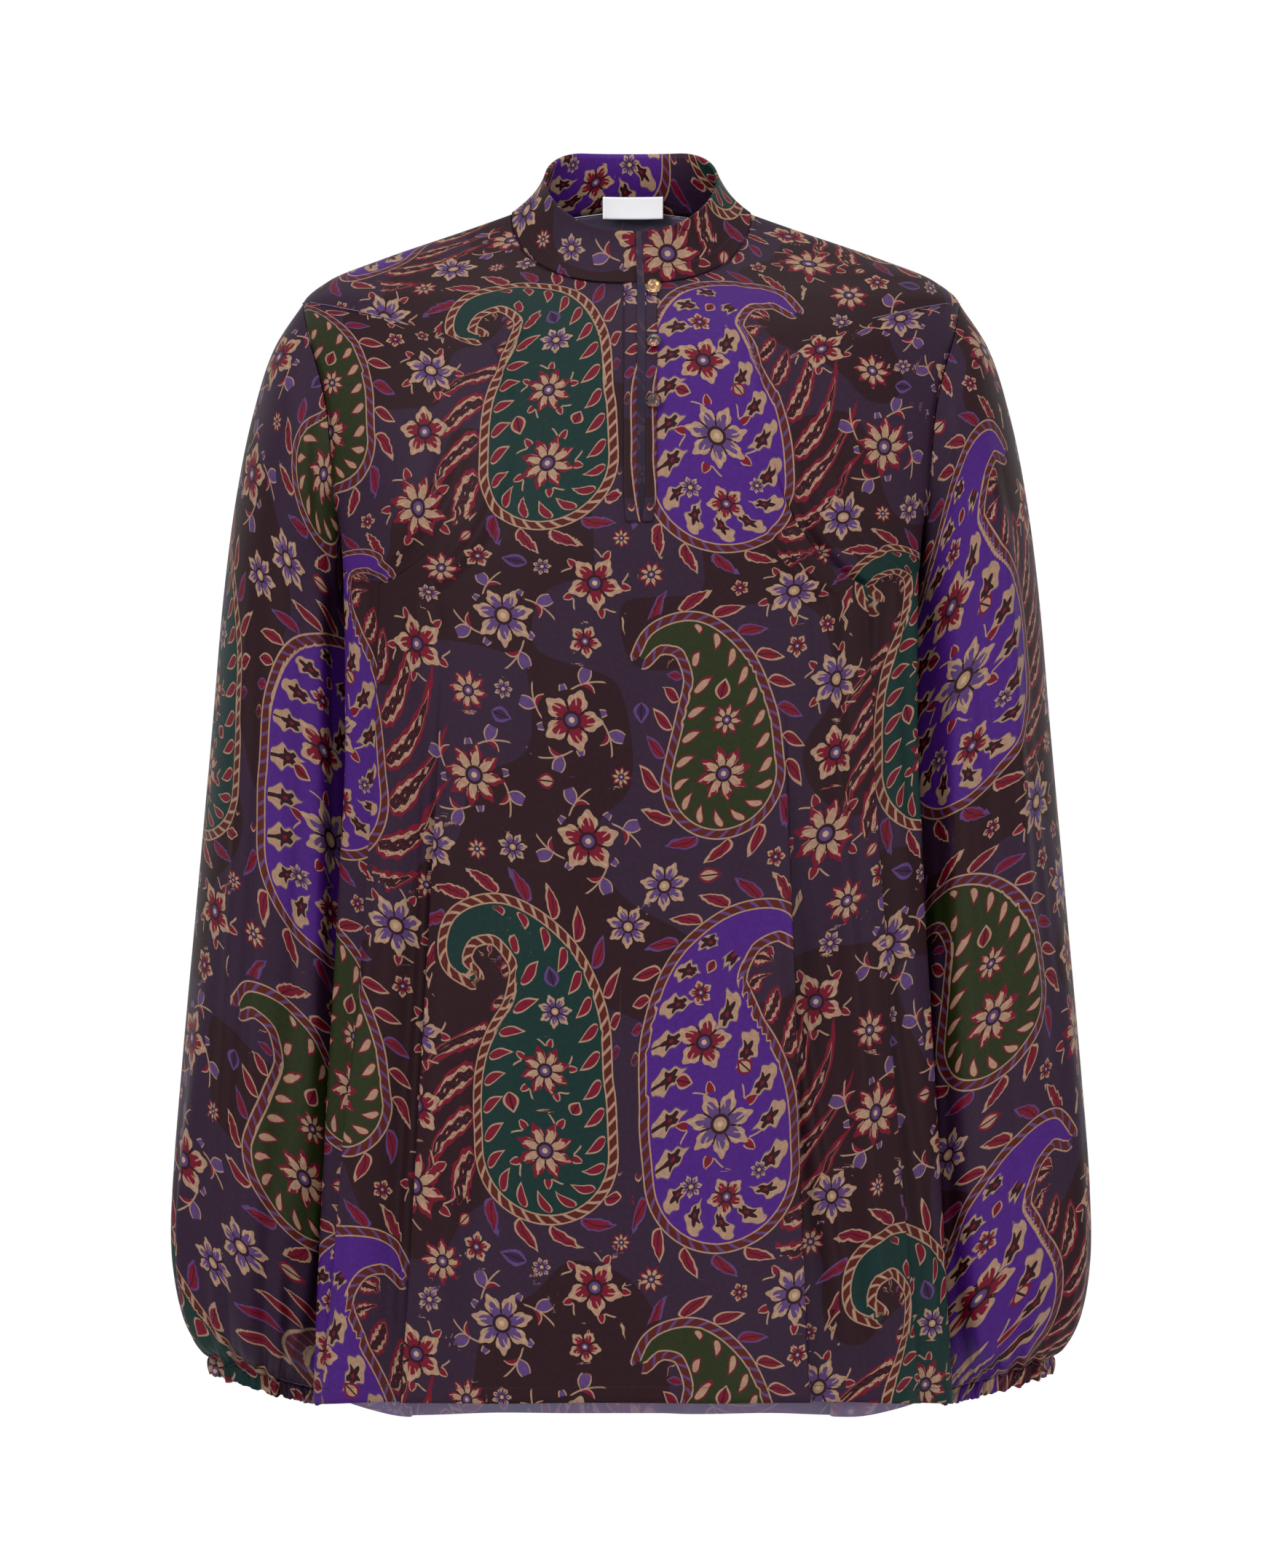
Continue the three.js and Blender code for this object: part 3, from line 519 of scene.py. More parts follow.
def creased(side, U, z, creases):
    """Soft creases, each a ridge with a trough on one side of it."""
    out = np.zeros(U.shape)
    u = side * U
    for c in creases:
        middle = mix(c["u"], c["u_end"], smooth(-z, -c["top"], -c["end"]))
        near = np.abs(u - middle) * HALF_PANEL / c["half"]
        start = smooth(-z, -c["top"], -c["top"] + c["ease"])
        end = 1 - smooth(-z, -c["end"] - c["ease"], -c["end"])
        profile = np.exp(-near ** 2) - 0.45 * np.exp(-((near - 1.7) ** 2))
        out += c["out"] * profile * start * end
    return out


CREASE_KEYS = ("u", "u_end", "top", "end", "half", "out", "ease")
FRONT_CREASES = [
    (-0.5, -0.44, -290, -735, 7, 3.0, 90),
    (-0.63, -0.66, -360, -735, 6, 1.8, 90),
    (-0.3, -0.33, -420, -735, 14, -2.4, 120),
    (-0.08, -0.11, -210, -480, 16, 1.2, 90),
    (0.06, 0.04, -205, -560, 12, 1.3, 120),
    (0.17, 0.14, -330, -735, 13, -2.2, 120),
    (0.3, 0.38, -400, -735, 7, 3.0, 110),
    (0.5, 0.46, -150, -735, 8, 2.6, 80),
    (0.62, 0.66, -400, -735, 6, 1.8, 90),
    (0.74, 0.66, -120, -330, 7, 2.0, 60),
    (-0.62, -0.52, -130, -330, 10, 2.0, 70),
    (-0.82, -0.8, -110, -300, 7, 2.2, 60),
    (0.84, 0.8, -120, -420, 7, 2.0, 60),
    (0.3, 0.6, -52, -130, 9, 1.4, 30),
    (-0.34, -0.62, -52, -130, 9, 1.4, 30),
]
BACK_CREASES = [
    (-0.5, -0.46, -300, -745, 10, 2.2, 90),
    (0.48, 0.44, -330, -745, 10, 2.2, 90),
    (-0.1, -0.14, -260, -600, 15, 1.6, 120),
    (0.16, 0.18, -240, -620, 14, -2.0, 120),
    (0.72, 0.66, -110, -330, 8, 2.0, 60),
    (-0.74, -0.68, -110, -330, 8, 2.0, 60),
]

FINE_HALF_COLUMNS = 128
FINE_ROWS = 286


# Where a panel's points lie, and its folds, flutes and creases
PANELS = {
    "front": (front_place, FRONT_FOLDS, FRONT_FLUTES, FRONT_CREASES),
    "back": (back_place, BACK_FOLDS, BACK_FLUTES, BACK_CREASES),
}
CENTRE_GAP = 0.0006  # half of it, as a share, keeps the slit's two edges apart


def surface(side, kind, U, v):
    """The points of half a panel at shares U across and v down."""
    place, folds, flutes, creases = PANELS[kind]
    t, z = place(side, U, v)
    out = drape(side * U, z, folds, flutes)
    out += creased(side, U, z, named(CREASE_KEYS, creases)) * (1 - smooth(U, 0.88, 0.99))
    return body_point(t, z, out)


def half_panel(side, kind, v):
    place, folds = PANELS[kind][:2]
    row_z = place(side, np.full((len(v), 1), 0.5), v)[1][:, 0]
    U = shares_across(FINE_HALF_COLUMNS, folds, side, row_z)
    U[:, -1] = 1 - CENTRE_GAP
    return surface(side, kind, U, v)


def panel(kind):
    """The front or the back as a closed shell, with where each point lies on the flat cloth."""
    v = row_shares(FINE_ROWS, [TIP, PIT, SLIT_ROW / ROW_COUNT])
    halves = [half_panel(-1, kind, v), half_panel(1, kind, v)]
    if kind == "back":
        halves.reverse()  # seen from outside, the wearer's other side comes first
    P_left, P_right = halves[0][:, ::-1], halves[1]
    slit_row = int(np.argmin(np.abs(v - SLIT_ROW / ROW_COUNT))) if kind == "front" else 0
    n = P_left.shape[1]
    normals = grid_normals(np.concatenate([P_left, P_right[:, 1:]], axis=1))
    beside_slit = np.arange(len(v))[:, None, None] < slit_row
    left_n = np.where(beside_slit, grid_normals(P_left), normals[:, :n])
    right_n = np.where(beside_slit, grid_normals(P_right), normals[:, n - 1:])
    base = int(np.argmin(np.abs(v - PIT)))
    middle_z = P_left[base, -1, 2]
    shell = Shell()
    grids = []
    for P, normals, centre in ((P_left, left_n, -1), (P_right, right_n, 0)):
        across, down = lengths_along(P, 1), lengths_along(P, 0)
        across = across - across[:, centre][:, None]
        if kind == "front":
            across = across + P[:, centre, 0][:, None]
        cloth = columns_of(across, down - down[base] - middle_z)
        hem = lengths_along(P[::-1], 0)[::-1]
        grids.append(walled(shell, P, cloth, hem, WALL, normals))
    return shell, *grids, slit_row, v


def weld_below(index_left, index_right, first_row):
    """Makes the two halves share their centre line from a row down."""
    swap = {}
    for j in range(first_row, index_left.shape[0]):
        swap[index_right[j, 0]] = index_left[j, -1]
    return swap


def make_panel(kind):
    shell, (lo, li), (ro, ri), slit_row, v = panel(kind)
    inner_first = int(np.searchsorted(every_second(len(v)), slit_row))
    swap = weld_below(lo, ro, slit_row)
    swap.update(weld_below(li, ri, inner_first))
    lookup = np.arange(shell.count)
    lookup[list(swap.keys())] = list(swap.values())
    shell.quads = [lookup[q] for q in shell.quads]
    shell.rim(list(lo[-1]) + list(lookup[ro[-1]][1:]), list(li[-1]) + list(lookup[ri[-1]][1:]))
    shell.rim(ro[::-1, -1], ri[::-1, -1])
    shell.rim(lo[:, 0], li[:, 0])
    if slit_row:
        shell.rim(ro[0, ::-1], ri[0, ::-1])
        shell.rim(lo[0, ::-1], li[0, ::-1])
        shell.rim(lookup[ro[: slit_row + 1, 0]], lookup[ri[: inner_first + 1, 0]])
        shell.rim(lo[: slit_row + 1, -1][::-1], li[: inner_first + 1, -1][::-1])
    else:
        outer = list(lookup[ro[0, ::-1]]) + list(lo[0, ::-1][1:])
        inner = list(lookup[ri[0, ::-1]]) + list(li[0, ::-1][1:])
        shell.rim(outer, inner)
    return finish_shell(shell, kind + "_cloth")


def finish_shell(shell, name):
    """Drops unused points, builds the mesh and returns it with the points' places on the flat cloth
    and ways to the hem.
    """
    used = np.zeros(shell.count, bool)
    for q in shell.quads:
        used[q.ravel()] = True
    used[np.array(shell.triangles).ravel()] = True
    renumber = np.cumsum(used) - 1
    shell.points = [np.concatenate(shell.points)[used]]
    cloth = np.concatenate(shell.cloth)[used]
    hem = np.concatenate(shell.hem)[used]
    shell.quads = [renumber[q] for q in shell.quads]
    shell.triangles = renumber[np.array(shell.triangles)].tolist()
    return in_scene(name, shell.mesh(name)), cloth, hem


def closed_rims(shell, outer, inner, wrap=False):
    """Closes all edges of a wall whose grids have the same outline."""
    if wrap:
        shell.rim(close_loop(outer[-1]), close_loop(inner[-1]))
        shell.rim(close_loop(outer[0])[::-1], close_loop(inner[0])[::-1])
        return
    shell.rim(outer[-1], inner[-1])
    shell.rim(outer[::-1, -1], inner[::-1, -1])
    shell.rim(outer[0, ::-1], inner[0, ::-1])
    shell.rim(outer[:, 0], inner[:, 0])


def simple_shell(name, P, cloth, hem, wall, n, wrap=False):
    """One grid as a closed wall."""
    shell = Shell()
    closed_rims(shell, *walled(shell, P, cloth, hem, wall, n, wrap), wrap)
    return finish_shell(shell, name)


# Sleeves and cuffs. A turn of 0 is the outside of the arm, 90 its front and 180 its inside.
SLEEVE_COLUMNS = 264
SLEEVE_FINE_ROWS = 270
ARMHOLE_GAP = 0.5
CRINKLES = [(29, 0.34, 0.3), (43, 0.3, 2.1), (59, 0.26, 4.4), (83, 0.2, 1.2)]  # waves, height, phase
CUFF_COLUMNS = 792
CUFF_ROWS = 13
UNDERARM = (90, 140)
FINE_GATHERS = [(37, 0.55, 0.9, 1.3), (53, 0.45, 0.93, 4.1), (71, 0.25, 0.95, 2.2)]


def armhole_edge(turn):
    at = turn % 360
    front = at <= 180
    t, z = armhole_place(
        np.where(front, at, 360 - at),
        np.where(front, -ARMHOLE["front_reach"], ARMHOLE["back_reach"]),
    )
    return body_point(t, z), body_normal(t, z)


def sleeve_columns(turn):
    """Points of the rings from the armhole to the cuff, for each turn."""
    point, normal = armhole_edge(turn)
    middle = body_point(90.0, (ARMHOLE["top"] + ARMHOLE["bottom"]) / 2)
    inward = middle - point
    inward -= normal * np.sum(inward * normal, axis=-1, keepdims=True)
    rows = [point + unit_vectors(inward) * ARMHOLE_GAP]
    c, s = np.cos(np.radians(turn)), np.sin(np.radians(turn))
    for r in named(RING_KEYS, SLEEVE_RINGS):
        rows.append(np.stack([
            mix(r["in_x"], r["out_x"], (1 + c) / 2),
            r["middle"] - r["depth"] * s,
            mix(r["in_z"], r["out_z"], (1 + c) / 2),
        ], axis=-1))
    return np.stack(rows)


def through_points(P, share):
    """A centripetal Catmull-Rom curve through P [points, columns, 3] at shares of its length."""
    P = np.concatenate([2 * P[:1] - P[1:2], P, 2 * P[-1:] - P[-2:-1]])
    out = np.zeros((len(share), P.shape[1], 3))
    for row, s in enumerate(share):
        place = s * (len(P) - 3)
        i = min(int(place), len(P) - 4)
        w = place - i
        x0, x1, x2, x3 = P[i:i + 4]
        d0, d1, d2 = [
            np.maximum(np.linalg.norm(b - a, axis=-1, keepdims=True) ** 0.5, 1e-4)
            for a, b in ((x0, x1), (x1, x2), (x2, x3))
        ]
        t1 = ((x1 - x0) / d0 - (x2 - x0) / (d0 + d1) + (x2 - x1) / d1) * d1
        t2 = ((x2 - x1) / d1 - (x3 - x1) / (d1 + d2) + (x3 - x2) / d2) * d1
        out[row] = (
            x1 + t1 * w + (-3 * x1 + 3 * x2 - 2 * t1 - t2) * w * w
            + (2 * x1 - 2 * x2 + t1 + t2) * w ** 3
        )
    return out


def sleeve_drape(turn, share, folds):
    out = np.zeros(np.broadcast(turn, share).shape)
    for at, half, high, start, end in folds:
        near = np.maximum(0, 1 - np.abs(turned_from(turn, at)) / half)
        length = smooth(share, start, start + 0.2) * (1 - smooth(share, end - 0.1, end))
        out += high * smooth(near, 0, 1) * length
    gathered = smooth(share, GATHERS["start"], 1)
    uneven = 0.62 + 0.26 * np.sin(np.radians(5 * turn + 20)) + 0.12 * np.sin(np.radians(13 * turn))
    wander = 26 * np.sin(np.radians(3 * turn + 50)) + 18 * np.sin(np.radians(7 * turn))
    gathered = gathered * (1 - 0.72 * smooth(share, 0.93, 1))
    ripple = np.cos(np.radians(GATHERS["waves"] * turn + wander))
    out += GATHERS["height"] * uneven * gathered * ripple
    for waves, high, start, phase in FINE_GATHERS:
        wander = np.sin(np.radians(3 * turn) + phase) + 6 * share
        length = smooth(share, start - 0.12, 1) * (1 - 0.6 * smooth(share, 0.95, 1))
        out += high * length * np.cos(np.radians(waves * turn) + phase + wander)
    return out


def finer(values, turn, wanted):
    """Values round a ring at more turns than it was made with; their last axes stay."""
    flat = values.reshape(len(turn), -1)
    out = np.stack([np.interp(-wanted, -turn, column, period=360) for column in flat.T], axis=-1)
    return out.reshape((len(wanted),) + values.shape[1:])


SLEEVE_CREASE_KEYS = ("at", "at_end", "start", "end", "half", "out")
SLEEVE_CREASES = {
    "right": [
        (70, 92, 0.02, 0.2, 6, 1.6), (110, 128, 0.03, 0.26, 7, 2.2), (50, 44, 0.22, 0.6, 5, 1.4),
        (84, 74, 0.3, 0.72, 6, 1.8), (120, 128, 0.45, 0.94, 5, 2.0), (66, 70, 0.62, 0.99, 4, 1.8),
        (95, 88, 0.74, 1.0, 4, 1.6), (38, 46, 0.7, 1.0, 4, 1.8), (140, 132, 0.2, 0.5, 6, 1.8),
        (262, 248, 0.1, 0.5, 7, 1.8), (290, 300, 0.4, 0.95, 6, 2.0), (230, 236, 0.55, 0.99, 5, 1.6),
        (326, 318, 0.5, 0.99, 5, 1.6), (20, 12, 0.55, 0.98, 5, 1.4),
    ],
    "left": [
        (74, 96, 0.02, 0.22, 6, 1.8), (116, 126, 0.04, 0.3, 7, 2.0), (54, 60, 0.3, 0.7, 5, 1.6),
        (92, 82, 0.4, 0.9, 6, 1.6), (124, 116, 0.5, 0.98, 5, 1.8), (60, 52, 0.7, 1.0, 4, 1.8),
        (100, 104, 0.7, 1.0, 4, 1.8), (34, 28, 0.6, 1.0, 4, 1.5), (144, 138, 0.15, 0.45, 6, 1.8),
        (256, 246, 0.12, 0.46, 7, 1.8), (300, 292, 0.38, 0.9, 6, 1.8), (226, 232, 0.6, 0.99, 5, 1.8),
        (332, 324, 0.45, 0.99, 5, 1.4), (14, 22, 0.6, 0.98, 5, 1.5),
    ],
}


def sleeve_creased(turn, share, creases):
    out = np.zeros(np.broadcast(turn, share).shape)
    for c in named(SLEEVE_CREASE_KEYS, creases):
        at = mix(c["at"], c["at_end"], smooth(share, c["start"], c["end"]))
        near = turned_from(turn, at) / c["half"]
        ease = min(0.1, (c["end"] - c["start"]) / 2.5)
        length = smooth(share, c["start"], c["start"] + ease)
        if c["end"] < 0.99:
            length = length * (1 - smooth(share, c["end"] - ease, c["end"]))
        out += c["out"] * length * (np.exp(-near ** 2) - 0.5 * np.exp(-((near - 1.8) ** 2)))
    return out


def make_sleeve(name, offset):
    """A sleeve and its cuff, made on the right of the body and mirrored for the left."""
    share = row_shares(SLEEVE_FINE_ROWS, [0.0, 0.5])
    turn = -360 * np.arange(SLEEVE_COLUMNS) / SLEEVE_COLUMNS  # to the right as seen from outside
    base = through_points(sleeve_columns(turn), share)
    normal = grid_normals(base, wrap=True)
    T, S = turn[None, :] % 360, share[:, None]
    out = sleeve_drape(T, S, SLEEVE_FOLDS[name]) + sleeve_creased(T, S, SLEEVE_CREASES[name])
    P = base + normal * (out * smooth(S, 0, 0.03))[..., None]
    n = grid_normals(P, wrap=True)
    from_top = np.minimum(T[0], 360 - T[0])
    own = smooth(from_top, *UNDERARM)[:, None]
    first = armhole_edge(turn)[1] * (1 - own) + n[0] * own
    near_seam = (1 - smooth(S, 0, 0.02))[..., None]
    n = unit_vectors(n * (1 - near_seam) + first[None] * near_seam)

    # The place on the flat sleeve: across from the outside line and down from below the armpit.
    level = int(np.argmin(np.abs(share - 0.25)))
    ring = np.linalg.norm(np.roll(base, -1, axis=1) - base, axis=-1)
    along = np.concatenate([np.zeros((len(share), 1)), np.cumsum(ring, axis=1)[:, :-1]], axis=1)
    total = ring.sum(axis=1, keepdims=True)
    half = SLEEVE_COLUMNS // 2
    across = np.where(np.arange(SLEEVE_COLUMNS)[None] < half, along, along - total)
    down = lengths_along(base, 0)
    hem = down[-1][None] - down
    down = down - down[level][None]
    cloth = columns_of(across + offset[0], down + offset[1])

    foot, last = CUFF_FOOT, SLEEVE_RINGS[-1]
    lead = np.array([
        (foot[0] + foot[2] - last[0] - last[2]) / 2, 0, (foot[1] + foot[3] - last[1] - last[3]) / 2,
    ])
    steps = np.linspace(0, 1, CUFF_ROWS)
    fine = -360 * np.arange(CUFF_COLUMNS) / CUFF_COLUMNS
    ring = finer(P[-1], turn, fine)
    down_cuff = mix(0.35 / np.linalg.norm(lead), 1, steps)[:, None, None]
    cuff_P = ring[None] + lead * down_cuff
    away = unit_vectors(cuff_P - cuff_P.mean(axis=1, keepdims=True))
    angle = np.radians(fine)[None, :]
    rows = steps[:, None]
    # Narrow crinkles that wander and differ in height, as a line of shirring has
    crinkle = 0.0
    for waves, high, phase in CRINKLES:
        wander = 0.8 * np.sin(3 * angle + phase) + 1.1 * np.sin(5 * angle + 2 * phase + 3 * rows)
        crinkle = crinkle + high * np.cos(waves * angle + phase + wander)
    bulge = np.sin(np.pi * np.clip(rows * 1.05, 0, 1)) * 0.5
    cuff_P = cuff_P + away * (bulge + crinkle * smooth(rows, 0, 0.25))[..., None]
    uneven = 0.35 * np.sin(17 * angle + 1) + 0.3 * np.sin(31 * angle + 4) + 0.2 * np.sin(53 * angle)
    cuff_P[..., 2] += uneven * smooth(rows, 0.4, 1)
    cuff_n = grid_normals(cuff_P, wrap=True)
    cuff_down = np.linalg.norm(lead) * rows
    last_across, last_down = finer(np.stack([across[-1], down[-1]], axis=-1), turn, fine).T
    last_across[len(fine) // 2] = across[-1, half]
    cuff_cloth = columns_of(last_across[None] + offset[0], last_down[None] + cuff_down + offset[1])
    cuff_hem = (cuff_down[-1] - cuff_down).repeat(len(fine), axis=1)

    made = []
    for kind, grid, where, to_end, normals in (
        ("sleeve", P, cloth, hem, n), ("cuff", cuff_P, cuff_cloth, cuff_hem, cuff_n),
    ):
        if name == "left":
            grid, normals, where, to_end = [
                a[:, ::-1].copy() for a in (grid, normals, where, to_end)
            ]
            for mirrored in (grid, normals, where):
                mirrored[..., 0] *= -1
        piece = f"{kind}_{name}_cloth"
        made.append(simple_shell(piece, grid, where, to_end, WALL, normals, wrap=True))
    return made


# Stand collar
COLLAR_HOLLOW = -2.5
COLLAR_WALL = 1.8
COLLAR_FINE = (300, 24)


def collar_points(plan, up):
    near = np.where(plan > 180, plan - 360, plan)
    t, z = neck_place(np.abs(near))
    t = np.where(near < 0, -t, t)
    foot = body_point(t, z)
    from_front = np.minimum(np.abs(plan), 360 - np.abs(plan))
    s, c = squared(plan, COLLAR["square"])
    top = np.stack([
        COLLAR["top_half_width"] * s,
        COLLAR["top_middle"] - COLLAR["top_half_depth"] * c,
        mix(COLLAR["front_top"], COLLAR["back_top"], smooth(from_front, 0, COLLAR["climb"])),
    ], axis=-1)
    up = up[:, None, None]
    P = foot[None] * (1 - up) + top[None] * up
    away = unit_vectors(P[..., :2] - np.array([0, NECK["middle"]]))
    P[..., :2] += away * 4 * up * (1 - up) * COLLAR_HOLLOW
    P[..., 2:] += (1 - up) * COLLAR["lift"]
    return P


def make_collar(offset):
    start = neck_plan(SLIT["x"] + COLLAR["end_gap"] / 2)
    end = 360 + neck_plan(SLIT["x"] - COLLAR["end_gap"] / 2)
    columns, rows = COLLAR_FINE
    plan = np.linspace(start, end, columns + 1)
    up = np.linspace(1, 0, rows + 1)
    P = collar_points(plan, up)
    # Slight waves in the band, as soft as an interlined strip has.
    n = grid_normals(P)
    wave = 0.5 * np.sin(np.radians(plan * 4 + 30)) + 0.35 * np.sin(np.radians(plan * 9 + 100))
    P = P + n * (wave[None] * (4 * up * (1 - up))[:, None])[..., None]
    middle = rows // 2
    across = lengths_along(P, 1)[middle]
    across = across - across[columns // 2]
    height = lengths_along(P[::-1], 0)[::-1]
    cloth = columns_of(across[None] + offset[0], offset[1] - height)
    return simple_shell("collar_cloth", P, cloth, height, COLLAR_WALL, grid_normals(P))


# Strips along the slit
BINDING = dict(width=7.5, wall=0.8, apart=0.4, lift=0.3)


def make_binding(name, side):
    v = row_shares(FINE_ROWS, [TIP, SLIT_ROW / ROW_COUNT])
    v = v[v <= SLIT_ROW / ROW_COUNT + 1e-9]
    near = surface(side, "front", np.zeros((len(v), 1)), v)
    probe = surface(side, "front", np.full((len(v), 1), 0.01), v)
    per_share = np.linalg.norm(probe - near, axis=-1) / 0.01
    apart = np.abs(near[..., 0] - SLIT["x"])
    first = np.maximum(0, BINDING["apart"] - apart) / per_share
    last = BINDING["width"] / per_share
    U = mix(first, last, np.linspace(0, 1, 9)[None])
    P = surface(side, "front", U, v)
    if side < 0:
        P, U = P[:, ::-1], U[:, ::-1]
    n = grid_normals(P)
    across = np.linspace(-1, 1, 9)
    round_over = 0.25 * (1 - across ** 4)
    P = P + n * (BINDING["lift"] + BINDING["wall"] + round_over)[None, :, None]
    down = lengths_along(P, 0)
    cloth = columns_of(lengths_along(P, 1), down)
    piece = f"slit_binding_{name}_cloth"
    return simple_shell(piece, P, cloth, down[-1][None] - down, BINDING["wall"], n)


# Buttons: clear faceted glass over a gilt back, sewn on through a small metal shank
BUTTON = dict(radius=4.7, crown=3.6, foot=1.8, sides=12, x=13.5)
BUTTONS = [(-47, 1.7, 0.6), (-82, 0.4, 0.0), (-119, 0.4, 0.0)]  # height, room below, turn ahead


def solid_of(name, points, faces, smooth_shading=False):
    mesh = bpy.data.meshes.new(name)
    mesh.from_pydata([tuple(p) for p in points], [], faces)
    mesh.validate()
    for polygon in mesh.polygons:
        polygon.use_smooth = smooth_shading
    return in_scene(name, mesh)


def lathe(profile, sides, turns):
    """Points and faces round the axis of -Y. profile lists radius and height; turns are shifts of
    half a side for each level."""
    points, faces = [], []
    for (r, y), turn in zip(profile, turns):
        for k in range(sides):
            a = 2 * math.pi * (k + turn / 2) / sides
            points.append((r * math.cos(a), -y, r * math.sin(a)))
    for j in range(len(profile) - 1):
        for k in range(sides):
            a, b = j * sides + k, j * sides + (k + 1) % sides
            c, d = a + sides, b + sides
            lift = turns[j + 1] - turns[j]
            if lift > 0:
                faces += [(a, b, c), (b, d, c)]
            else:
                faces += [(a, d, c), (a, b, d)]
    faces.append(tuple(range(sides))[::-1])
    faces.append(tuple(range((len(profile) - 1) * sides, len(profile) * sides)))
    return points, faces


def placed(obj, z, clear, ahead):
    t = float(angle_at_x(BUTTON["x"], z))
    out = body_normal(t, float(z))
    out = out * (1 - ahead) + np.array([0, -1, 0]) * ahead
    out /= np.linalg.norm(out)
    above = 0.3 + 1.0 + BUTTON["foot"] + clear
    at = body_point(t, float(z)) + out * above
    turn = Vector((0, -1, 0)).rotation_difference(Vector(out))
    matrix = turn.to_matrix()
    for vertex in obj.data.vertices:
        vertex.co = (matrix @ vertex.co + Vector(at)) / 1000
    return obj


def make_button(index, z, clear, ahead):
    r, crown = BUTTON["radius"], BUTTON["crown"]
    glass = [
        (0.9 * r, 0.35), (r, 0.95), (0.97 * r, 1.25),
        (0.74 * r, 2.5), (0.42 * r, crown - 0.25), (0.12 * r, crown),
    ]
    back = [(0.3 * r, -0.5), (0.8 * r, -0.35), (0.96 * r, 0.2), (0.9 * r, 0.3)]
    shank = [(0.95, -BUTTON["foot"]), (0.7, -1.2), (0.8, -0.5)]
    parts = []
    for name, profile, sides, turns in (
        ("glass", glass, BUTTON["sides"], [0, 0, 0, 1, 0, 1]),
        ("back", back, 24, [0] * 4),
        ("shank", shank, 12, [0] * 3),
    ):
        points, faces = lathe(profile, sides, turns)
        solid = solid_of(f"button_{index}_{name}", points, faces, name == "shank")
        parts.append(placed(solid, z, clear, ahead))
    return parts


# The blank woven label inside the back of the neck
LABEL = dict(x=1, width=38, height=14, wall=0.6, top=17.5, curve=51.2)


def make_label():
    columns, rows = 60, 24
    x = LABEL["x"] + (0.5 - np.linspace(0, 1, columns + 1)) * LABEL["width"]
    z = LABEL["top"] - np.linspace(0, 1, rows + 1) * LABEL["height"]
    sag = 0.35 * np.sin(np.linspace(0, math.pi, rows + 1))
    y = NECK["middle"] + np.sqrt(LABEL["curve"] ** 2 - x * x)
    P = columns_of(x[None], y[None] + sag[:, None], z[:, None])
    n = grid_normals(P)
    across = np.linspace(0, LABEL["width"], columns + 1)
    ends = np.minimum(across, LABEL["width"] - across)
    P = P - n * (0.25 * np.exp(-(ends / 2.2) ** 2))[None, :, None]
    cloth = columns_of(across[None], (LABEL["top"] - z)[:, None])
    return simple_shell("neck_label_cloth", P, cloth, cloth[..., 1], LABEL["wall"], n)


# Print. Its own plain layout of the usual paisley motifs: a half drop repeat in millimetres of
# the flat cloth, X to the right and Y down. Paisleys stand at set places, and flowers and leaves
# fill the room between and inside them.
STEP, DROP = 262.0, 424.0
PAISLEYS = [
    # x, y, turn in degrees, mirrored, spine from the round end to the tip as x, y, radius
    (64, 104, 8, 1,
     [(0, 60, 43), (-9, 20, 43), (-24, -22, 33), (-26, -58, 21),
      (-8, -84, 12), (14, -90, 7), (29, -80, 2.5)]),
    (196, 306, -14, 1,
     [(0, 58, 39), (9, 18, 38), (26, -22, 27), (26, -56, 17),
      (6, -80, 11), (-18, -78, 8), (-28, -60, 5), (-19, -48, 2)]),
    (70, 318, 24, -1,
     [(0, 34, 33), (12, 4, 27), (30, -24, 17), (54, -36, 10), (72, -28, 5), (76, -14, 2)]),
]
OUTER_LEAVES = [16, 17, 15]  # how far the leaves round each paisley reach
FEATHERS = [(0.05, 0.4, 50), (0.64, 0.9, 44), (0.0, 0.0, 0)]  # long ones: start, end, reach
RIM = 5.2  # the rope's width
FAR_ALONG = 60  # points this far along an outline count as its other side
BIG, SMALL = 34.0, 5.2  # radii of the flower units
WITH_STEMS = (29, 18)  # radii over which a unit has four or five stems
UNIT_GAP, LEAF_GAP = 3.2, 1.9  # ground left between motifs
NONE_NEAR = -9  # how far inside a motif a point is, where there is none


def to_cell(dx, dy):
    n = np.round(dx / STEP)
    dx = dx - n * STEP
    dy = dy - n * DROP / 2
    return dx, dy - np.round(dy / DROP) * DROP


def outline_of(spine):
    """The outline of a tapering, bending shape as points, from its tip round and back."""
    rows = np.array(spine, float)[:, None, :]
    curve = through_points(rows, np.linspace(0, 1, 70))[:, 0]
    along = np.gradient(curve[:, :2], axis=0)
    along /= np.linalg.norm(along, axis=-1, keepdims=True)
    across = np.stack([-along[:, 1], along[:, 0]], axis=-1)
    left = curve[:, :2] + across * curve[:, 2:]
    right = curve[:, :2] - across * curve[:, 2:]
    start = math.atan2(*(left[0] - curve[0, :2])[::-1])
    cap = start + np.linspace(0, math.pi, 30)[1:-1]
    end = curve[0, :2] + curve[0, 2] * np.stack([np.cos(cap), np.sin(cap)], axis=-1)
    outline = np.concatenate([left[::-1], end, right])
    steps = np.linalg.norm(np.diff(outline, axis=0), axis=-1)
    place = np.concatenate([[0], np.cumsum(steps)])
    even = np.linspace(0, place[-1], 150)
    points = np.stack([np.interp(even, place, outline[:, i]) for i in range(2)], axis=-1)
    return points, curve, place[-1]


OUTLINES = [outline_of(p[4]) for p in PAISLEYS]


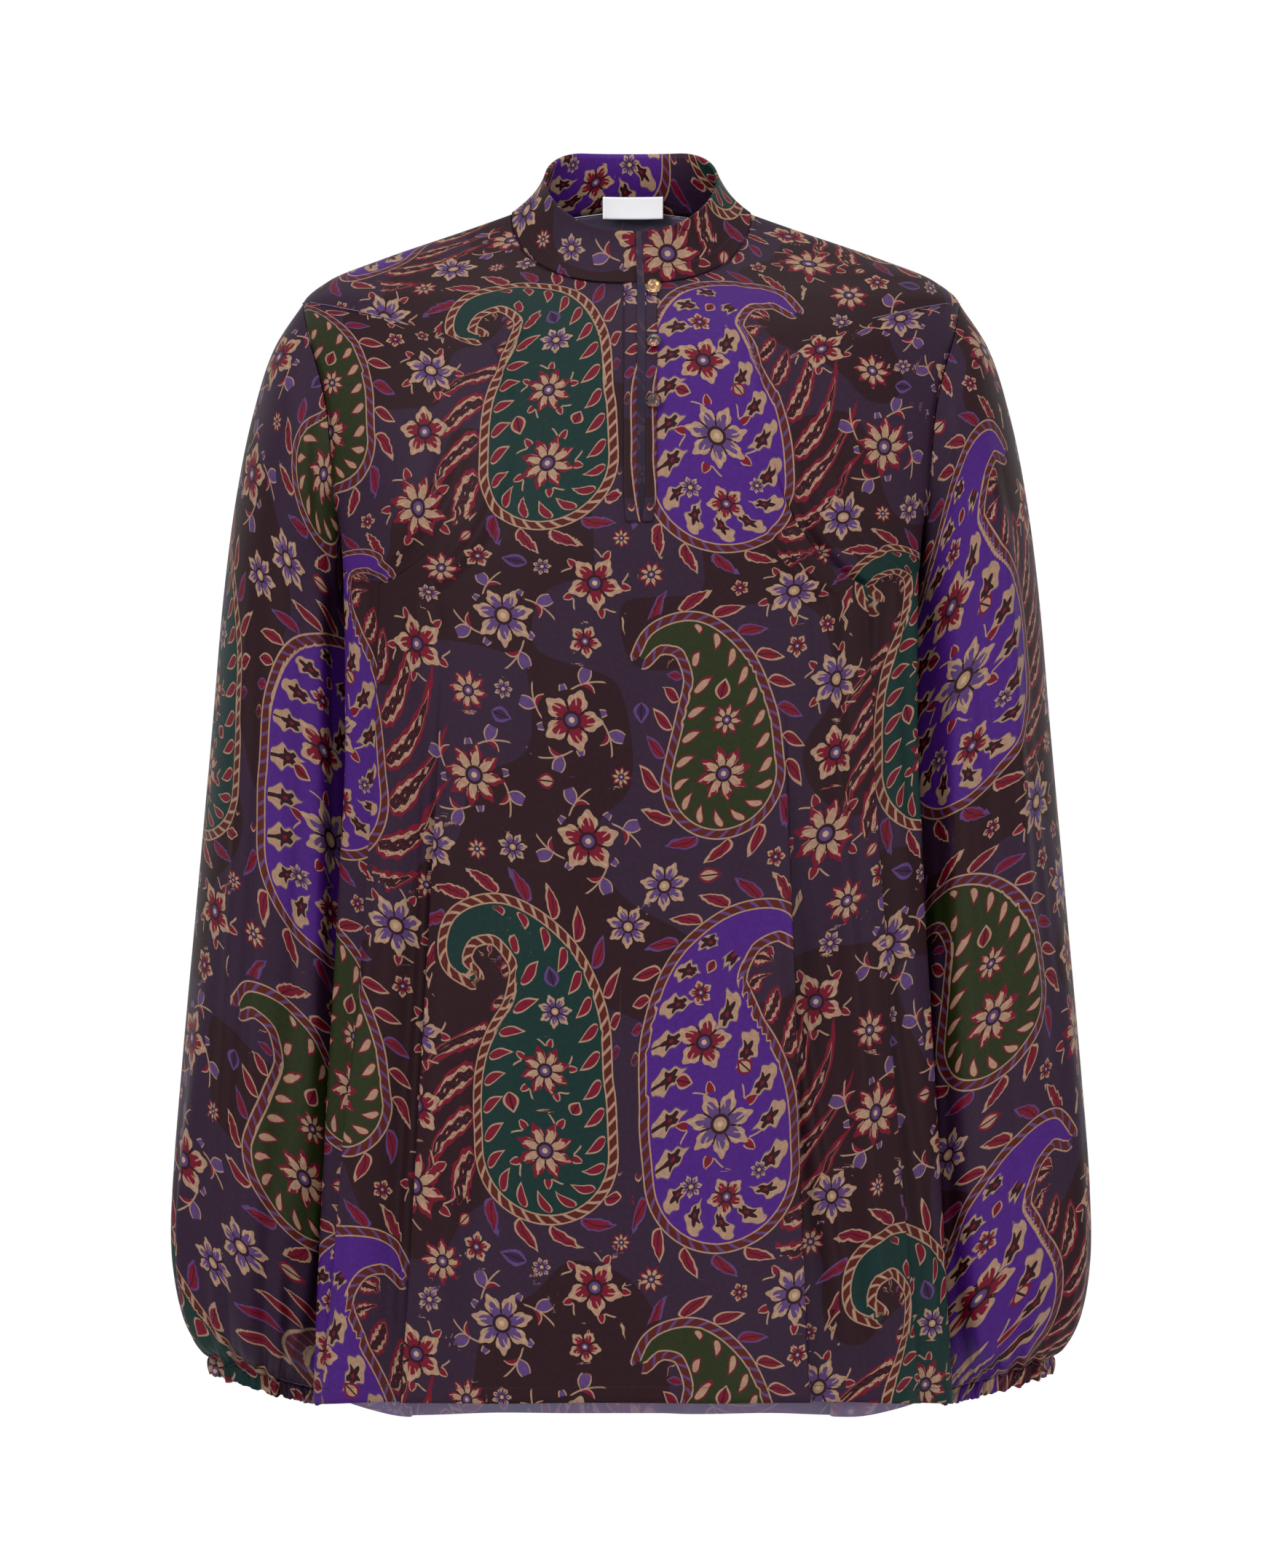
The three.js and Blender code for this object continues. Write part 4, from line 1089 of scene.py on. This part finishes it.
def paisley_fields(X, Y):
    """Signed distance from the nearest paisley, the place along its outline, its number and the
    room to the line halfway to the next outline or to the same one's other side."""
    best = np.full(X.shape, 60.0)
    second = np.full(X.shape, 60.0)
    place = np.zeros(X.shape)
    which = np.zeros(X.shape)
    own = np.full(X.shape, 60.0)
    for number, (cx, cy, turn, mirror, _) in enumerate(PAISLEYS):
        points, curve, length = OUTLINES[number]
        c, s = math.cos(math.radians(turn)), math.sin(math.radians(turn))
        for column in (-1, 0, 1):
            dx = X - cx
            n = np.round(dx / STEP) + column
            dx = dx - n * STEP
            dy = Y - cy - n * DROP / 2
            dy = dy - np.round(dy / DROP) * DROP
            x, y = mirror * (c * dx + s * dy), -s * dx + c * dy
            low, high = points.min(axis=0) - 55, points.max(axis=0) + 55
            near = (x > low[0]) & (x < high[0]) & (y > low[1]) & (y < high[1])
            at = np.flatnonzero(near)
            for part in np.array_split(at, max(1, len(at) // 20000)):
                if not len(part):
                    continue
                q = np.stack([x[part], y[part]], axis=-1)
                gap = q[:, None] - points[None]
                square = np.sum(gap * gap, axis=-1)
                j = np.argmin(square, axis=1)
                j0 = np.clip(j, 1, len(points) - 2)
                along = points[j0 + 1] - points[j0 - 1]
                along /= np.linalg.norm(along, axis=-1, keepdims=True)
                off = q - points[j]
                arc = j * length / (len(points) - 1) + np.sum(off * along, axis=-1)
                distance = np.abs(np.cross(along, off))
                at_end = (j == 0) | (j == len(points) - 1)
                distance = np.where(at_end, np.sqrt(square[np.arange(len(j)), j]), distance)
                body = q[:, None] - curve[None, :, :2]
                inside = np.min(np.linalg.norm(body, axis=-1) - curve[None, :, 2], axis=1) < 0
                signed = np.where(inside, -distance, distance)
                steps_off = np.abs(np.arange(len(points))[None] - j[:, None])
                far_off = steps_off * length / (len(points) - 1) > FAR_ALONG
                across = np.sqrt(np.min(np.where(far_off, square, 1e5), axis=1))
                closer = signed < best[part]
                second[part] = np.where(closer, best[part], np.minimum(second[part], signed))
                best[part] = np.where(closer, signed, best[part])
                place[part] = np.where(closer, arc, place[part])
                which[part] = np.where(closer, number, which[part])
                own[part] = np.where(closer, (across - distance) / 2, own[part])
    return best, place, which, np.minimum((second - best) / 2, own)


def reach_outside(place, which):
    """How far the leaves round a paisley reach at a place along its outline."""
    reach = np.zeros(place.shape)
    for number, (start, end, long) in enumerate(FEATHERS):
        share = place / OUTLINES[number][2]
        here = (share > start) & (share < end)
        reach = np.where(which == number, np.where(here, long, OUTER_LEAVES[number]), reach)
    return reach


def pack_motifs():
    """Fills the repeat with round motifs, always the largest that fits, then with leaves."""
    gx, gy = np.meshgrid(np.arange(0, STEP, 2.0), np.arange(0, DROP, 2.0))
    X, Y = gx.ravel(), gy.ravel()
    p, place, which, _ = paisley_fields(X, Y)
    outside = p - RIM - reach_outside(place, which) - 2
    room = np.where(p < 0, -p - 15, outside)
    noise = np.sin(X * 12.9898 + Y * 78.233) * 0.6
    rounds, leaves = [], []
    for _ in range(150):
        best = int(np.argmax(np.minimum(room, BIG) + noise))
        radius = min(room[best], BIG)
        if radius < SMALL:
            break
        rounds.append((X[best], Y[best], radius, len(rounds)))
        dx, dy = to_cell(X - X[best], Y - Y[best])
        room = np.minimum(room, np.hypot(dx, dy) - radius - UNIT_GAP)
    for _ in range(220):
        best = int(np.argmax(room + noise))
        if room[best] < 3.4:
            break
        found = (0, 0, 0)
        for k in range(12):
            a = math.pi * k / 12
            reach = []
            for sign in (-1, 1):
                far = 0
                while far < 17:
                    qx = X[best] + sign * (far + 2) * math.cos(a)
                    qy = Y[best] + sign * (far + 2) * math.sin(a)
                    n = math.floor(qx / STEP)
                    column = int(((qx - n * STEP) / 2)) % gx.shape[1]
                    row = int((((qy - n * DROP / 2) % DROP) / 2)) % gx.shape[0]
                    if room[row * gx.shape[1] + column] < 2.6:
                        break
                    far += 2
                reach.append(far)
            if sum(reach) > found[0]:
                found = (sum(reach), a, (reach[1] - reach[0]) / 2)
        length, a, shift = found
        half = min(room[best], 5.0)
        length = max(length + 3, 9)
        x, y = X[best] + shift * math.cos(a), Y[best] + shift * math.sin(a)
        leaves.append((x, y, a + (math.pi if len(leaves) % 2 else 0), length, half, len(leaves)))
        dx, dy = to_cell(X - x, Y - y)
        along = np.clip(dx * math.cos(a) + dy * math.sin(a), -length / 2, length / 2)
        away = np.hypot(dx - along * math.cos(a), dy - along * math.sin(a))
        room = np.minimum(room, away - half - LEAF_GAP)
    return rounds, leaves


ROUNDS, LEAVES = pack_motifs()


def print_fields(cloth, hem):
    """The attributes that the material reads, for points at places on the flat cloth."""
    X, Y = cloth.T
    p, place, which, gap = paisley_fields(X, Y)
    unit = np.zeros((len(X), 4))
    unit[:, 2] = NONE_NEAR
    size = np.ones(len(X))
    for cx, cy, radius, number in ROUNDS:
        dx, dy = to_cell(X - cx, Y - cy)
        near = np.hypot(dx, dy)
        here = (radius - near > unit[:, 2]) & (near < radius + 6)
        kind = sum(radius <= least for least in WITH_STEMS)
        turn = number * 2.4
        c, s = math.cos(turn), math.sin(turn)
        unit[here, 0] = (c * dx + s * dy)[here] / radius
        unit[here, 1] = (-s * dx + c * dy)[here] / radius
        unit[here, 2] = (radius - near)[here]
        unit[here, 3] = kind + 0.1 + 0.25 * (number * 7 % 3)
        size[here] = radius
    leaf = np.zeros((len(X), 4))
    leaf[:, 2] = NONE_NEAR
    for cx, cy, a, length, half, number in LEAVES:
        dx, dy = to_cell(X - cx, Y - cy)
        along = dx * math.cos(a) + dy * math.sin(a)
        across = -dx * math.sin(a) + dy * math.cos(a)
        inside = np.minimum(length / 2 - np.abs(along), half - np.abs(across))
        here = (inside > leaf[:, 2]) & (inside > -4)
        leaf[here, 0] = along[here] / length + 0.5
        leaf[here, 1] = across[here] / half
        leaf[here, 2] = inside[here]
        leaf[here, 3] = 0.1 + 0.25 * (number * 5 % 3)
    wave = (
        np.sin(X / 41 + 1.3 * np.sin(Y / 67) + 0.6) + np.sin(Y / 47 + 1.5 * np.sin(X / 53 + 2))
        + 0.6 * np.sin((X + Y) / 29 + 1) + 0.35 * np.sin((X - Y) / 17)
    )
    ground = columns_of(wave * 20, size, hem)
    reach = reach_outside(place, which)
    paisley = columns_of(p, place, which * 100 + reach, gap)
    return dict(paisley=paisley, unit=unit, leaf=leaf, ground=ground, place=cloth)


# Materials
def linear(code, share=1.0):
    """A colour by its usual code, in linear light, and darker by a share."""
    out = []
    for i in (0, 2, 4):
        c = int(code[i:i + 2], 16) / 255
        out.append(share * (c / 12.92 if c <= 0.04045 else ((c + 0.055) / 1.055) ** 2.4))
    return (*out, 1)


class Value:
    """A number in a material, worked out with plain arithmetic."""

    def __init__(self, tree, socket):
        self.tree, self.socket = tree, socket

    def use(self, operation, *others, clamp=False):
        inputs = dict(enumerate((self, *others)))
        node = add_node(self.tree, "Math", inputs, operation=operation, use_clamp=clamp)
        return Value(self.tree, node.outputs[0])

    def __neg__(self):
        return self * -1

    def __rsub__(self, other):
        return self * -1 + other

    def above(self, edge, soft=0.3):
        """1 where the value is over the edge and 0 below it, with a narrow blend."""
        return self.use("MULTIPLY_ADD", 1 / soft, -edge / soft + 0.5, clamp=True)


def operation_of(operation):
    return lambda value, *others: value.use(operation, *others)


for method, operation in dict(
    __add__="ADD", __radd__="ADD", __sub__="SUBTRACT", __mul__="MULTIPLY", __rmul__="MULTIPLY",
    __truediv__="DIVIDE", abs="ABSOLUTE", sin="SINE", cos="COSINE", power="POWER", min="MINIMUM",
    max="MAXIMUM", wrap="FLOORED_MODULO", angle="ARCTAN2", floor="FLOOR", root="SQRT",
).items():
    setattr(Value, method, operation_of(operation))


def add_node(tree, kind, inputs, **settings):
    """A node with its settings. Each input is a socket to link, a Value or a constant."""
    node = tree.nodes.new("ShaderNode" + kind)
    for name, value in settings.items():
        setattr(node, name, value)
    for key, value in inputs.items():
        value = value.socket if isinstance(value, Value) else value
        if isinstance(value, bpy.types.NodeSocket):
            tree.links.new(value, node.inputs[key])
        else:
            node.inputs[key].default_value = value
    return node


def over(tree, below, colour, mask):
    """Lays a colour over another where the mask is 1."""
    return add_node(tree, "Mix", {"Factor": mask, 6: below, 7: colour}, data_type="RGBA").outputs[2]


def read(tree, name):
    """The four numbers of an attribute."""
    node = add_node(tree, "Attribute", {}, attribute_type="GEOMETRY", attribute_name=name)
    split = add_node(tree, "SeparateColor", {"Color": node.outputs["Color"]})
    return [Value(tree, socket) for socket in (*split.outputs[:3], node.outputs["Alpha"])]


HEM_LINE = 9.5  # how deep the narrow hem is turned
DIP = 0.4  # the light on the blouse is brighter than 1, so its colours are darker by this
COLOURS = {name: linear(code, DIP) for name, code in dict(
    dark="2e0b17", dusk="371e38", violet="521c86", emerald="0c3430", olive="2b3412", gold="bb967a",
    pale="d4b48c", crimson="800429", rust="5f1a12", lavender="64457e", deep="300816", leaf="381e4c",
).items()}


OUTER_ROWS = [
    # spacing, lean, bend, half width, whether these are the feathers
    (17, 0.4, 0.3, 4.3, False),
    (24, 0.35, 0.6, 8.8, True),
]
INNER_ROWS = [
    # paisley, length, spacing, lean, half width, border, middle
    (0, 23, 25, 0.55, 9.6, "lavender", "gold"),
    (1, 13, 17, 0.8, 4.4, "gold", "crimson"),
    (2, 11, 15, -0.7, 3.8, "crimson", "gold"),
]


def paint_print(tree):
    """The print as one colour, from the attributes of the cloth. Its lengths are millimetres of
    cloth, or shares of a motif's own size, and the second number of above() is a soft edge."""
    c = COLOURS
    p, k, code, gap = read(tree, "paisley")
    x, y, m, kind = read(tree, "unit")
    a, b, lm, tint = read(tree, "leaf")
    g, size, hem, _ = read(tree, "ground")

    def lay(colour, mask):
        nonlocal picture
        picture = over(tree, picture, colour, mask)

    def shade(colour, other, mask):
        return over(tree, colour, other, mask)

    picture = over(tree, c["dark"], c["dusk"], g.above(0, 0.6))
    number = (code / 100).floor()
    reach = code - number * 100
    inside = (-p).above(0, 0.3)
    field = shade(c["violet"], c["emerald"], number.above(0.5, 0.1))
    field = shade(field, c["olive"], number.above(1.5, 0.1))
    lay(field, inside)

    # The rope round a paisley, between two gold lines
    apart = gap.above(1.2, 0.3)
    rim = p.above(-1.0, 0.3) * (-p).above(-RIM, 0.3)
    rope = (k / 8.5 + p / 8).wrap(1)
    stripe = (rope - 0.5).abs().above(0.36, 0.08)
    strand = shade(c["gold"], c["lavender"], (number - 1).abs().above(0.5, 0.1))
    twist = shade(c["rust"], strand, stripe)
    lay(twist, rim * apart)
    for line in (-0.5, RIM - 0.2):
        lay(c["gold"], (0.45 - (p - line).abs()).above(0, 0.3) * apart)

    # Leaves in a row outside the rope, and long feathers where the reach is more
    out = p - RIM
    feather = reach.above(24, 1)
    reach = reach.min(out + gap - 3)
    for period, lean, bend, half, is_long in OUTER_ROWS:
        share = (out / reach.max(1)).max(0.0001).min(0.9999)
        s = (k + out * lean + out * share * bend).wrap(period) - period / 2
        if is_long:
            wide = share.power(0.5) * (1 - share).power(0.85) * 2.4 * half
            wide = wide * ((share * (2 * math.pi * 5) + s * 0.35).cos() * 0.07 + 0.95)
        else:
            wide = (share.power(0.85) * math.pi).sin() * half
        d = wide - s.abs()
        here = (out.above(0.3, 0.2) * (reach - out).above(0.2, 0.3) * reach.above(5, 0.5)
                * (feather if is_long else (1 - feather)))
        if is_long:
            body = shade(c["crimson"], c["gold"], (d - 2.4).above(0, 0.3))
            spot = ((share * 5.4).wrap(1) - 0.5) * (reach / 5.4)
            clover = 3.5 - (spot * spot + s * s).root() - (s.angle(spot) * 4).cos() * 1.2
            body = shade(body, c["deep"], clover.above(0, 0.4) * (d - 2.7).above(0, 0.3))
            specks = (out * 1.9).sin() * (s * 2.1).sin()
            body = shade(body, c["crimson"], specks.above(0.72, 0.1) * (d - 2.9).above(0, 0.3))
        else:
            odd = ((k + out * lean) / period).floor().wrap(3).above(1.5, 0.1)
            body = shade(c["gold"], c["lavender"], odd)
            body = shade(body, c["crimson"], (d - 1.15).above(0, 0.3))
            body = shade(body, c["deep"], (0.3 - s.abs()).above(0, 0.2) * (d - 1.2).above(0, 0.2))
        lay(body, here * d.above(0, 0.35))

    # Leaves in a row inside the rope: broad and dark spotted, or plain
    deep_in = -p - 2.0
    for only, most, period, lean, half, rim_colour, heart_colour in INNER_ROWS:
        length = (gap - p - 5).min(most)
        share = (deep_in / length.max(1)).max(0.0001).min(0.9999)
        s = (k - deep_in * lean).wrap(period) - period / 2
        wide = (share.power(0.62) * math.pi).sin() * half
        if only == 0:
            wide = wide * ((share * (2 * math.pi * 3)).cos() * 0.16 + 0.84)
        d = wide - s.abs()
        if only == 0:
            body = shade(c[rim_colour], c[heart_colour], (d - 0.9).above(0, 0.3))
            away = ((deep_in - length * 0.5) * (deep_in - length * 0.5) + s * s).root()
            clover = 5.0 - away - (s.angle(deep_in - length * 0.5) * 5).cos() * 1.5
            body = shade(body, c["deep"], clover.above(0, 0.4) * (d - 2.2).above(0, 0.3))
            body = shade(body, c["crimson"], (1.3 - away).above(0, 0.3))
        else:
            body = shade(c[rim_colour], c[heart_colour], (d - 1.1).above(0, 0.3))
        one = (number - only).abs().use("LESS_THAN", 0.3)
        lay(body, d.above(0, 0.3) * deep_in.above(0.2, 0.2) * (length - deep_in).above(0.2, 0.2)
            * length.above(most * 0.42, 0.5) * one)

    # Single leaves
    wide = (a.max(0.001).min(0.999).power(0.8) * math.pi).sin()
    d = wide - b.abs()
    mid = (0.1 - b.abs()).above(0, 0.04)
    body = shade(c["gold"], c["crimson"], d.above(0.3, 0.1))
    body = shade(body, shade(c["lavender"], c["leaf"], d.above(0.4, 0.1)), tint.above(0.3, 0.05))
    body = shade(body, shade(c["crimson"], c["gold"], d.above(0.34, 0.1)), tint.above(0.5, 0.05))
    body = shade(body, c["deep"], mid * d.above(0.3, 0.1))
    along_leaf = a.above(0.01, 0.02) * (1 - a).above(0.01, 0.02)
    lay(body, d.above(0, 0.08) * lm.above(-0.6, 0.3) * along_leaf)

    # Round units. In the larger ones stems with leaves wind out from a flower.
    r = (x * x + y * y).root().max(0.001)
    turn = y.angle(x)
    style = kind.floor()
    hue = kind - style
    plain = style.above(1.5, 0.1)
    middle = style.above(0.5, 0.1)
    core = plain * 0.24 + middle * 0.18 + 0.56
    within = m.above(0.2, 0.3)
    log_r = r.use("LOGARITHM", math.e)
    for arms, slope, pairs, only in ((4, 1.3, 2.3, 0), (5, -1.0, 2.0, 1)):
        arm = 2 * math.pi / arms
        wind = (turn - log_r * slope).wrap(arm) - arm / 2
        far = log_r * pairs
        step = far.wrap(1) / pairs
        this_style = (style - only).abs().use("LESS_THAN", 0.3)
        mask = within * this_style * r.above(0.54 + 0.18 * only, 0.01)
        across = wind * (1 / math.sqrt(1 + slope * slope))
        stem = (0.5 - (across * r * size).abs()).above(0, 0.3) * (0.93 - r).above(0, 0.02)
        lay(c["gold"], stem * mask)
        for side, hue_of in ((1, "crimson"), (-1, "lavender")):
            ahead = step - 0.03
            sideways = wind * side + ahead * slope * side
            tilt = math.atan(slope) * side + 0.85
            along = ahead * math.cos(tilt) + sideways * math.sin(tilt)
            off = sideways * math.cos(tilt) - ahead * math.sin(tilt)
            long = 0.52 if only == 0 else 0.48
            share = (along / long).max(0.0001).min(0.9999)
            wide = (share.power(0.8) * math.pi).sin() * 0.145
            d = (wide - off.abs()) * r * size
            body = shade(c["gold"], c[hue_of], (d - 0.85).above(0, 0.3))
            edge = (1 - r) * size
            lay(body, d.above(0, 0.3) * mask * edge.above(1.0, 0.4) * along.above(0.004, 0.004))
    rr = r / core
    brush = (turn * 17 + rr * 9).sin() * 0.5 + 0.5
    past_first, past_second = hue.above(0.3, 0.05), hue.above(0.55, 0.05)
    kinds = (1 - past_first, past_first * (1 - past_second), past_second)
    for petals, variant in ((5, 0), (7, 1), (8, 2)):
        chosen = kinds[variant]
        wave = (turn * petals).cos()
        edge = wave * 0.17 + 0.8 + (turn * petals * 3).cos() * 0.045
        d = (edge - rr) * size * core
        inner = (wave * 0.17 + 0.58 - rr) * size * core
        outer_colour = (c["gold"], c["gold"], c["crimson"])[variant]
        inner_colour = (c["crimson"], c["lavender"], c["gold"])[variant]
        petal = shade(outer_colour, inner_colour, inner.above(0, 0.5))
        between = (0.55 - (wave + 1) * rr * size * core * 0.5).above(0, 0.2) * rr.above(0.3, 0.05)
        petal = shade(petal, c["deep"], between)
        streaks = brush.above(0.86, 0.1) * d.above(1.2, 0.4) * rr.above(0.5, 0.05)
        petal = shade(petal, c["pale"], streaks * 0.6)
        petal = shade(petal, c["deep"], (0.3 - rr).above(0, 0.04))
        petal = shade(petal, c["lavender" if variant != 1 else "gold"], (0.2 - rr).above(0, 0.03))
        petal = shade(petal, c["pale"], (0.09 - rr).above(0, 0.03))
        lay(petal, d.above(0, 0.4) * within * chosen)
    return picture, hem


def cloth_material(name, pale):
    """The printed silk. pale is how much of the cloth's reverse shows."""
    material = bpy.data.materials.new(name)
    material.use_nodes = True
    tree = material.node_tree
    shader = tree.nodes["Principled BSDF"]
    picture, hem = paint_print(tree)
    X, Y, _, _ = read(tree, "place")
    stitch = ((hem - HEM_LINE).abs() * -1 + 0.3).above(0, 0.25) * (Y * 0).above(-1)
    picture = over(tree, picture, COLOURS["deep"], stitch * 0.55)
    place = add_node(tree, "CombineXYZ", {0: X, 1: Y})
    noise = add_node(tree, "TexNoise", {"Scale": 0.35, "Detail": 4, "Vector": place.outputs[0]})
    strokes = Value(tree, noise.outputs[0]).above(0.5, 0.3) * 0.45
    inputs = {"Factor": strokes, 6: picture, 7: (0.62, 0.5, 0.62, 1)}
    picture = add_node(tree, "Mix", inputs, data_type="RGBA", blend_type="MULTIPLY").outputs[2]
    if pale:
        picture = over(tree, picture, linear("8d80a0", DIP * 1.9), pale)
    tree.links.new(picture, shader.inputs["Base Color"])
    shader.inputs["Roughness"].default_value = 0.52
    shader.inputs["Specular IOR Level"].default_value = 0.1
    weave = (X * (2 * math.pi / 0.9)).sin() * (Y * (2 * math.pi / 0.9)).sin() * 0.05
    fold_edge = (hem - HEM_LINE).above(0, 1.2) * -0.4
    height = weave + fold_edge
    bump = add_node(tree, "Bump", {"Strength": 0.6, "Distance": 0.001, "Height": height})
    tree.links.new(bump.outputs["Normal"], shader.inputs["Normal"])
    return material


def plain_material(name, colour, roughness, metallic=0.0, specular=0.3):
    """A material whose colour varies a little with a fine noise."""
    material = bpy.data.materials.new(name)
    material.use_nodes = True
    tree = material.node_tree
    shader = tree.nodes["Principled BSDF"]
    noise = add_node(tree, "TexNoise", {"Scale": 900})
    inputs = {"Factor": noise.outputs[0], 6: linear(colour, 0.86), 7: linear(colour)}
    ramp = add_node(tree, "Mix", inputs, data_type="RGBA")
    tree.links.new(ramp.outputs[2], shader.inputs["Base Color"])
    shader.inputs["Roughness"].default_value = roughness
    shader.inputs["Metallic"].default_value = metallic
    shader.inputs["Specular IOR Level"].default_value = specular
    return material, tree, shader


# Pieces
CLOTH = cloth_material("printed_silk", 0)
LINING = cloth_material("printed_silk_inside", 0.55)
PIECES = {"front": make_panel("front"), "back": make_panel("back")}
for side_name, offset in (("right", (150, 60)), ("left", (330, 190))):
    PIECES["sleeve_" + side_name], PIECES["cuff_" + side_name] = make_sleeve(side_name, offset)
PIECES["collar"] = make_collar((40, 200))
PIECES["slit_binding_left"] = make_binding("left", -1)
PIECES["slit_binding_right"] = make_binding("right", 1)
BACK_OFFSET = (131, 60)  # where the back is cut from the print
# Each cut's width, length and area before it was sewn, and what it hangs from
SHEETS = [
    ("front", (0.6, 0.76), "hung", ["collar", "sleeve_left", "sleeve_right"], 0.39,
     ["slit_binding_left", "slit_binding_right"]),
    ("back", (0.575, 0.79), "hung", ["collar", "sleeve_left", "sleeve_right"], 0.375, []),
    ("sleeve_right", (0.45, 0.67), "gathered", ["front", "back", "cuff_right"], 0.227, []),
    ("sleeve_left", (0.45, 0.67), "gathered", ["front", "back", "cuff_left"], 0.227, []),
    ("cuff_right", (0.202, 0.014), "gathered", ["sleeve_right"], None, []),
    ("cuff_left", (0.202, 0.014), "gathered", ["sleeve_left"], None, []),
    ("collar", (0.383, 0.043), "folded", ["front", "back"], 0.0145, []),
]
for node, (obj, cloth, hem) in PIECES.items():
    shift = np.array(BACK_OFFSET if node == "back" else (0, 0))
    for name, values in print_fields(cloth + shift, hem).items():
        attribute(obj.data, name, values)
    obj.data.materials.append(CLOTH)
    obj.data.materials.append(CLOTH if node == "collar" else LINING)  # the collar is folded double
    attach(obj, "root")
    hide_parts(node)
for node, flat, held, rests_on, area, on_it in SHEETS:
    obj = PIECES[node][0]

LABEL_CLOTH, tree, shader = plain_material("woven_label", "c9c8cb", 0.7, 0, 0.2)
ribs = add_node(tree, "TexWave", {"Scale": 520}, bands_direction="Z")
inputs = {"Strength": 0.15, "Distance": 0.0004, "Height": ribs.outputs["Fac"]}
bump = add_node(tree, "Bump", inputs)
tree.links.new(bump.outputs["Normal"], shader.inputs["Normal"])
label, _, _ = make_label()
label.data.materials.append(LABEL_CLOTH)
label.data.materials.append(LABEL_CLOTH)
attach(label, "root")
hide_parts("neck_label")

GILT, tree, shader = plain_material("button_gilt", "bd9144", 0.24, 1.0, 0.5)
# A darker copy of the same gilt for buttons 2 and 3: painted shade on the metal.
SHADED_GILT, tree, shader = plain_material("button_gilt_painted_shade", "6b3f22", 0.3, 1.0, 0.5)
GLASS = []
# The glass of buttons 2 and 3 is a darker, redder copy of the first's: painted shade and a painted
# reflection of the print.
for number, tint in enumerate(("e9dbc9", "9a6b50", "9c6a54"), 1):
    glass, tree, shader = plain_material(f"button_glass_{number}", tint, 0.05, 0, 0.4)
    shader.inputs["Transmission Weight"].default_value = 1.0
    shader.inputs["IOR"].default_value = 1.6
    GLASS.append(glass)
for i, (z, clear, ahead) in enumerate(BUTTONS, 1):
    # Buttons 2 and 3 take the darker gilt, which is painted shade.
    metal = GILT if i == 1 else SHADED_GILT
    for part, finish in zip(make_button(i, z, clear, ahead), (GLASS[i - 1], metal, GILT)):
        part.data.materials.append(finish)
        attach(part, "root")
        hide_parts(f"button_{i}")


# Light and backdrop
def add_light(name, kind, place, aim, energy):
    data = bpy.data.lights.new(name, kind)
    data.energy = energy
    obj = in_scene(name, data)
    obj.location = place
    obj.rotation_euler = (Vector(aim) - Vector(place)).to_track_quat("-Z", "Y").to_euler()
    return data


for name, place, aim, size, energy in (
    ("key", (-1.6, -2.6, 1.3), (0, 0, -0.35), (1.6, 1.6), 75),
    ("fill", (1.9, -2.4, 0.2), (0, 0, -0.4), (1.6, 2.0), 36),
    ("top", (0.1, -0.3, 2.2), (0, 0, -0.2), (1.6, 1.2), 22),
):
    panel_light = add_light(name, "AREA", place, aim, energy)
    panel_light.shape = "RECTANGLE"
    panel_light.size, panel_light.size_y = size
spot = add_light("neck", "SPOT", (0, -0.25, 0.35), (0, 0.06, -0.01), 5)
spot.spot_size = math.radians(17)
spot.spot_blend = 0.6
spot.shadow_soft_size = 0.02

# A pale floor, as far below as a wearer would stand
FLOOR = dict(half=3000, z=-1600)
turns = ((-1, -1), (1, -1), (1, 1), (-1, 1))
corners = [(FLOOR["half"] * x, FLOOR["half"] * y, FLOOR["z"]) for x, y in turns]
floor = solid_of("floor", corners, [(0, 1, 2, 3)])
floor.scale = (0.001, 0.001, 0.001)
FLOOR_PAINT, tree, shader = plain_material("floor", "fbfbfb", 0.9, 0, 0.1)
floor.data.materials.append(FLOOR_PAINT)

world = bpy.data.worlds.new("world")
bpy.context.scene.world = world
world.use_nodes = True
background = world.node_tree.nodes["Background"]
background.inputs["Color"].default_value = (1, 1, 1, 1)
background.inputs["Strength"].default_value = 1.0
bpy.context.scene.view_settings.view_transform = "Standard"
